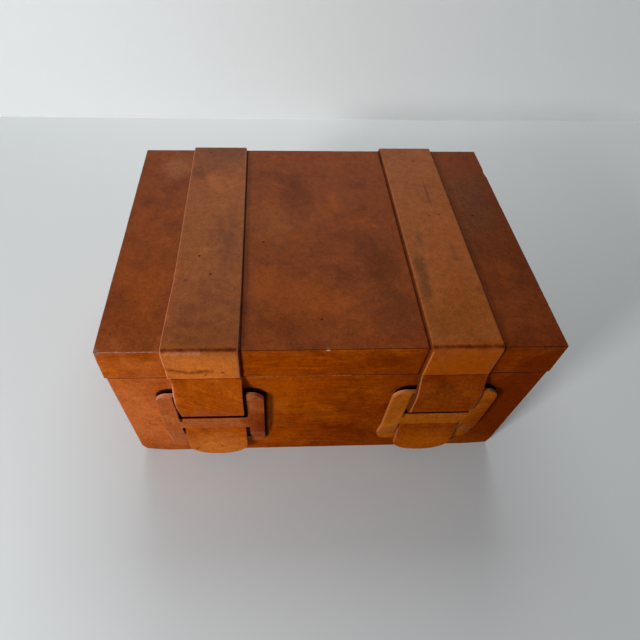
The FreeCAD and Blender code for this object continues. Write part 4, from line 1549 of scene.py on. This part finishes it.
@dataclass
class Buckle:
    """A slotted plate on the base's front, and the strap tail woven through it."""

    side: Side
    leather: float = 2.4 * MM
    swell_size: float = 18 * MM
    swell_height: float = 0.2 * MM
    tail_cell: float = 4 * MM
    plate_corner: float = 8 * MM
    plate_edge: float = 1 * MM
    bar_rise: float = 27.5 * MM
    bar_height: float = 15 * MM
    slot_play: float = 0.4 * MM
    slot_end_play: float = 1.2 * MM
    slot_gather: float = 1.8 * MM
    gather_reach: float = 18 * MM
    lift_run: float = 11 * MM
    dive_run: float = 5 * MM
    climb_run: float = 4 * MM
    lean_flat: float = 3 * MM
    lean_out: float = 2.6 * MM
    bends: tuple[float, ...] = (3.2 * MM, 6.5 * MM, 1.2 * MM, 1.0 * MM, 0.8 * MM, 1.0 * MM, 1.4 * MM)
    tip_share: float = 0.47
    tip_squash: float = 0.58
    arm_bend: tuple[float, float] = (26 * MM, 46 * MM)
    plate_column: float = 4 * MM
    plate_row: float = 2 * MM
    foot_droop: float = 3 * MM

    def __post_init__(self) -> None:
        """Work out heights from the frame and the sizes."""
        self.plate_low, self.plate_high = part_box(f"buckle_plate_{self.side}")
        self.tail_low, self.tail_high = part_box(f"strap_tail_{self.side}")
        self.middle_x = (self.tail_low.x + self.tail_high.x) / 2
        self.width = self.tail_high.x - self.tail_low.x
        self.front = self.tail_high.y
        over = 2 * self.leather
        self.bar_low = self.plate_low.z + self.bar_rise
        self.bar_high = self.bar_low + self.bar_height
        self.lift_end = self.plate_high.z + self.slot_play
        self.lift_start = self.lift_end + self.lift_run
        self.lift_mitre = self.mitre(over, self.lift_run)
        self.dive_mitre = self.mitre(over, self.dive_run)
        self.dive_end = self.bar_high + self.dive_mitre + self.slot_play
        self.dive_start = self.dive_end + self.dive_run
        self.upper_slot = self.dive_start + self.slot_play
        self.climb_mitre = self.mitre(self.leather, self.climb_run)
        self.climb_start = self.bar_low - self.climb_mitre - self.slot_play
        self.climb_end = self.climb_start - self.climb_run
        self.lower_slot = self.climb_end - self.slot_play
        self.lean_start = self.climb_end - self.lean_flat
        self.plate_bend = self.lower_slot + self.leather / 3

    def mitre(self, rise: float, run: float) -> float:
        """How far a bend's outer face is moved along from its inner face."""
        return self.leather * rise / (run + math.hypot(rise, run))

    def middle_line(self) -> list[tuple[float, float]]:
        """Middle line of the tail, from the seam to the tip.

        Returns:
            Its places along Y and Z.
        """
        over = 2 * self.leather
        under_face = ((0, self.tail_high.z, 0), (0, self.lift_start, self.lift_mitre),
                      (over, self.lift_end, self.lift_mitre), (over, self.dive_start, -self.dive_mitre),
                      (0, self.dive_end, -self.dive_mitre), (0, self.climb_start, self.climb_mitre),
                      (self.leather, self.climb_end, self.climb_mitre), (self.leather, self.lean_start, 0),
                      (self.leather + self.lean_out, self.tail_low.z, 0))
        return [(self.front - rise - self.leather / 2, z + shift / 2) for rise, z, shift in under_face]

    def build(self, strap: bpy.types.Material, plate: bpy.types.Material) -> None:
        """Model and dress the plate and the tail."""
        self.build_tail(strap)
        self.build_plate(plate)

    def build_tail(self, material: bpy.types.Material) -> None:
        """The tail from the seam over the plate, behind its bar and out to the rounded tip.

        Args:
            material: Its finish.
        """
        belt = Belt(self.width, self.leather, cell=self.tail_cell, swell_size=self.swell_size,
                    swell_height=self.swell_height)
        piece = belt.build(f"belt_tail_{self.side}", self.middle_x, self.middle_line(), self.bends)
        piece.pick(Part.CORNER, lambda place, normal: abs(place.z - self.tail_low.z) < NEAR)
        piece.bevel(self.tip_share * self.width, 12, corners=True)
        start = self.tail_low.z + self.tip_share * self.width
        piece.pick(Part.CORNER, lambda place, normal: place.z < start + NEAR)
        tip_y, tip_z = self.middle_line()[-1]
        bpy.ops.transform.resize(value=(1, self.tip_squash, self.tip_squash),
                                 center_override=(self.middle_x, tip_y, tip_z))
        belt.finish(piece, self.middle_x, self.tail_low, self.tail_high, crease=0.0)
        if self.side is Side.LEFT:
            self.gather(piece)
        piece.settle("base", "strap_leather", material, f"strap_tail_{self.side}")

    def gather(self, piece: Workpiece) -> None:
        """Draw the tail's left edge in where it dives into the upper slot.

        Args:
            piece: The tail.
        """
        piece.open()
        piece.pick(Part.CORNER, lambda corner, normal: corner.x < self.tail_low.x + self.leather / 4
                   and abs(corner.z - self.bar_high) < self.leather)
        piece.push(Vector((self.slot_gather, 0, 0)), self.gather_reach)
        piece.close()

    def build_plate(self, material: bpy.types.Material) -> None:
        """The plate with its two slots, bent out above the lower one.

        Args:
            material: Its finish.
        """
        half_width = (self.plate_high.x - self.plate_low.x) / 2
        half_slot = self.width / 2 + self.slot_end_play
        low_y = self.front - self.leather / 2
        piece = Workpiece.upright_sheet(f"slotted_plate_{self.side}", self.middle_x, 2 * half_width, low_y,
                                        self.plate_low.z, self.plate_high.z)
        piece.pick(Part.CORNER, lambda place, normal: True)
        piece.bevel(self.plate_corner, 8, corners=True)
        for place in (self.lower_slot, self.plate_bend, self.bar_low, self.bar_high, self.upper_slot):
            piece.slice(Axis.Z, place)
        for place in (self.middle_x - half_slot, self.middle_x + half_slot):
            piece.slice(Axis.X, place)
        slots = ((self.lower_slot, self.bar_low), (self.bar_high, self.upper_slot))
        piece.pick(Part.FACE, lambda middle, normal: abs(middle.x - self.middle_x) < half_slot
                   and any(low < middle.z < high for low, high in slots))
        bpy.ops.mesh.delete(type="FACE")
        for place in (self.middle_x - self.width / 2, self.middle_x + self.width / 2):
            piece.slice(Axis.X, place)
        piece.grid(Axis.X, self.middle_x - half_width, self.middle_x + half_width, self.plate_column)
        piece.grid(Axis.Z, self.plate_low.z, self.plate_high.z, self.plate_row)
        self.bend_out(piece, half_slot)
        piece.close()
        piece.thicken(self.leather, self.plate_edge, 4)
        piece.unevenness(self.swell_size, self.swell_height)
        piece.mark("edge", lambda place, normal: min(1.0, (1 - normal.y * normal.y) * 1.2))
        piece.settle("base", "buckle_leather", material, f"buckle_plate_{self.side}")

    def bend_out(self, piece: Workpiece, half_slot: float) -> None:
        """Bring the bar forward, and the arms by small steps.

        Args:
            piece: The plate.
            half_slot: Half the length of a slot.
        """
        piece.pick(Part.CORNER, lambda place, normal: abs(place.x - self.middle_x) < half_slot - NEAR
                   and place.z > self.bar_low - NEAR)
        bpy.ops.transform.translate(value=(0, -self.leather, 0))
        start, end = self.arm_bend
        steps = round((end - start) / self.plate_row)
        for number in range(steps):
            row = start + (end - start) * number / steps
            share = (math.cos(math.pi * number / steps) - math.cos(math.pi * (number + 1) / steps)) / 2
            piece.pick(Part.CORNER, lambda place, normal: abs(place.x - self.middle_x) > half_slot - NEAR
                       and place.z > row)
            bpy.ops.transform.translate(value=(0, -self.leather * share, 0))
        if self.side is Side.LEFT:
            foot = Vector((self.plate_low.x, self.front, self.plate_low.z))
            piece.pick(Part.CORNER, lambda place, normal: (place - foot).length < self.plate_corner)
            piece.push(Vector((0, 0, -self.foot_droop)), 3 * self.plate_corner)


@dataclass
class Lining:
    """Suede on the walls, and a pad, in the base or in the lid."""

    body: Half
    edge: float = 0.35 * MM
    cell: float = 8 * MM
    least_run: float = 10 * MM
    swell_size: float = 25 * MM
    wall_swell: float = 0.15 * MM
    pad_swell: float = 0.3 * MM

    def build(self, material: bpy.types.Material) -> None:
        """Model and dress the wall pieces and the pad.

        Args:
            material: Its finish.
        """
        for wall in ("front", "back", "left", "right"):
            self.panel(f"{self.body}_lining_{wall}", f"{self.body}_suede_{wall}", material, self.wall_swell)
        node = "base_floor_pad" if self.body is Half.BASE else "lid_pad"
        pad = self.panel(node, f"{self.body}_suede_pad", material, self.pad_swell)

    def panel(self, node: str, name: str, material: bpy.types.Material, swell: float) -> bpy.types.Object:
        """One thin panel with soft edges.

        Args:
            node: CAD node that it stands for.
            name: What the piece is called.
            material: Its finish.
            swell: Height of its unevenness.

        Returns:
            The finished object.
        """
        low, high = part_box(node)
        piece = Workpiece.block(name, low, high)
        bpy.ops.mesh.select_all(action="SELECT")
        piece.bevel(self.edge, 3)
        for axis in Axis:
            start, end = low[axis.value] + self.edge, high[axis.value] - self.edge
            if end - start > self.least_run:
                piece.grid(axis, start, end, self.cell)
        piece.close()
        piece.refine()
        piece.unevenness(self.swell_size, swell)
        return piece.settle(self.body.value, "lining_suede", material, node)


@dataclass
class Underside:
    """The sheet under the base."""

    edge: float = 0.4 * MM
    cell: float = 12 * MM

    def build(self, material: bpy.types.Material) -> None:
        """Model and dress the sheet.

        Args:
            material: Its finish.
        """
        low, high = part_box("base_underside")
        piece = Workpiece.block("underside_sheet", low, high)
        bpy.ops.mesh.select_all(action="SELECT")
        piece.bevel(self.edge, 2)
        for axis in (Axis.X, Axis.Y):
            piece.grid(axis, low[axis.value] + self.edge, high[axis.value] - self.edge, self.cell)
        piece.close()
        piece.settle("base", "underside_leather", material, "base_underside")


@dataclass
class Hardware:
    """Hinges and boards, which keep their CAD shapes."""

    def dress(self, brass: bpy.types.Material, steel: bpy.types.Material, wood: bpy.types.Material) -> None:
        """Give each CAD node that stays its finish.

        Args:
            brass: Finish of the hinge leaves.
            steel: Finish of the pins.
            wood: Finish of boards and rails.
        """
        for name, item in frame["nodes"].items():
            if "hinge_pin" in name:
                finish = steel
            elif "hinge" in name:
                finish = brass
            elif name.endswith(("_board", "_rail")):
                finish = wood
            else:
                continue
            item.data.materials.clear()
            item.data.materials.append(finish)
            LOG.info("%s: %s", name, finish.name)


@dataclass(frozen=True)
class Lamp:
    """A soft square lamp that points at a place."""

    name: str
    place: Triple
    target: Triple
    size: float
    power: float
    colour: Triple

    def hang(self) -> None:
        """Put the lamp up, out of the camera's sight."""
        data = bpy.data.lights.new(self.name, "AREA")
        data.shape = "SQUARE"
        data.size = self.size
        data.energy = self.power
        data.color = self.colour
        lamp = bpy.data.objects.new(self.name, data)
        lamp.location = self.place
        lamp.visible_camera = False
        way = Vector(self.target) - Vector(self.place)
        lamp.rotation_euler = way.to_track_quat("-Z", "Y").to_euler()
        bpy.context.scene.collection.objects.link(lamp)


@dataclass(frozen=True)
class Backdrop:
    """A plain flat surface of the studio, lifted a little by its glow for the camera alone."""

    name: str
    place: Triple
    turn: Triple
    size: Triple
    colour: Colour
    glow: float = 0.0
    roughness: float = 0.55

    def build(self) -> bpy.types.Object:
        """Put up and paint the surface.

        Returns:
            The surface.
        """
        Workpiece.clear()
        bpy.ops.mesh.primitive_plane_add(size=1.0, location=self.place, rotation=self.turn)
        surface = bpy.context.object
        surface.name = self.name
        surface.scale = self.size
        bpy.ops.object.transform_apply(location=True, rotation=True, scale=True)
        paint = bpy.data.materials.new(self.name + " paint")
        paint.use_nodes = True
        shader = paint.node_tree.nodes["Principled BSDF"]
        shader.inputs["Base Color"].default_value = self.colour
        shader.inputs["Roughness"].default_value = self.roughness
        shader.inputs["Emission Color"].default_value = self.colour
        wire = Wiring(paint.node_tree)
        seen = wire.node("LightPath").outputs["Is Camera Ray"]
        wire.feed(shader.inputs["Emission Strength"], wire.times(seen, self.glow))
        surface.data.materials.append(paint)
        return surface


@dataclass
class Studio:
    """Table, wall, lights and the camera."""

    camera_place: Vector = field(default_factory=lambda: Vector((-34.86, -233.52, 336.34)) * MM)
    camera_heading: float = math.radians(3.997)
    camera_pitch: float = math.radians(51.219)
    camera_roll: float = math.radians(2.566)
    lens: float = 26.505
    sensor: float = 36.0
    nearest: float = 10 * MM
    shift_x: float = 0.0458
    shift_y: float = -0.01385
    wall_y: float = 0.371
    wall_height: float = 0.4
    wall_glow: float = 0.1
    table_depth: float = 3.0
    table_gap: float = 0.05 * MM
    width: float = 6.0
    table_colour: Colour = tint(218, 221, 221)
    wall_colour: Colour = tint(244, 247, 247)
    sky_colour: Colour = (0.95, 0.97, 1.0, 1.0)
    sky_strength: float = 0.13
    lamps: tuple[Lamp, ...] = (
        Lamp("window", (-0.65, -0.6, 0.45), (0, 0, 0.05), 0.16, 5.9, (0.98, 0.99, 1.0)),
        Lamp("skylight", (0.0, 0.8, 0.9), (0, 0, 0), 0.9, 7.0, (0.97, 0.99, 1.0)))

    def build(self) -> None:
        """Set up the whole studio."""
        bpy.context.scene.view_settings.view_transform = "Standard"
        Backdrop("table", (0, self.wall_y - self.table_depth / 2, -self.table_gap), (0, 0, 0),
                 (self.width, self.table_depth, 1), self.table_colour).build()
        wall = Backdrop("wall", (0, self.wall_y, self.wall_height / 2), (math.pi / 2, 0, 0),
                        (self.width, self.wall_height, 1), self.wall_colour, self.wall_glow).build()
        wall.visible_shadow = False
        for lamp in self.lamps:
            lamp.hang()
        self.sky()
        self.camera()

    def sky(self) -> None:
        """Even light from all round, white to the camera."""
        world = bpy.data.worlds.new("studio")
        bpy.context.scene.world = world
        world.use_nodes = True
        background = world.node_tree.nodes["Background"].inputs
        background["Color"].default_value = self.sky_colour
        wire = Wiring(world.node_tree)
        rays = wire.node("LightPath").outputs
        seen = wire.math("MAXIMUM", rays["Is Camera Ray"], rays["Is Transmission Ray"])
        level = wire.math("ADD", wire.times(seen, 1.0 - self.sky_strength), self.sky_strength)
        wire.feed(background["Strength"], level)

    def camera(self) -> None:
        """The camera of the photograph."""
        data = bpy.data.cameras.new("camera")
        data.sensor_width = self.sensor
        data.lens = self.lens
        data.shift_x = self.shift_x
        data.shift_y = self.shift_y
        data.clip_start = self.nearest
        camera = bpy.data.objects.new("camera", data)
        turn = (Matrix.Rotation(-self.camera_heading, 4, "Z")
                @ Matrix.Rotation(math.pi / 2 - self.camera_pitch, 4, "X")
                @ Matrix.Rotation(self.camera_roll, 4, "Z"))
        camera.matrix_world = Matrix.Translation(self.camera_place) @ turn
        bpy.context.scene.collection.objects.link(camera)
        bpy.context.scene.camera = camera


def main() -> None:
    """Build the box piece by piece, then the studio."""
    logging.basicConfig(level=logging.INFO, format="%(message)s")
    effects = Effects()
    cover = COVER.material(effects)
    straps = {Side.LEFT: STRAP_LEFT.material(effects), Side.RIGHT: STRAP_RIGHT.material(effects)}
    tails = {Side.LEFT: TAIL_LEFT.material(effects), Side.RIGHT: TAIL_RIGHT.material(effects)}
    plates = {Side.LEFT: PLATE_LEFT.material(effects), Side.RIGHT: PLATE_RIGHT.material(effects)}
    suede = SUEDE.material(effects)
    for body in Half:
        Cover(body).build(cover)
    for side in Side:
        LidStrap(side).build(straps[side])
        BackStrap(side).build(straps[side])
        Buckle(side).build(tails[side], plates[side])
    for body in Half:
        Lining(body).build(suede)
    Underside().build(UNDERSIDE.material(effects))
    Hardware().dress(BRASS.material(effects), STEEL.material(effects), WOOD.material(effects))
    Studio().build()


if __name__ == "__main__":
    main()
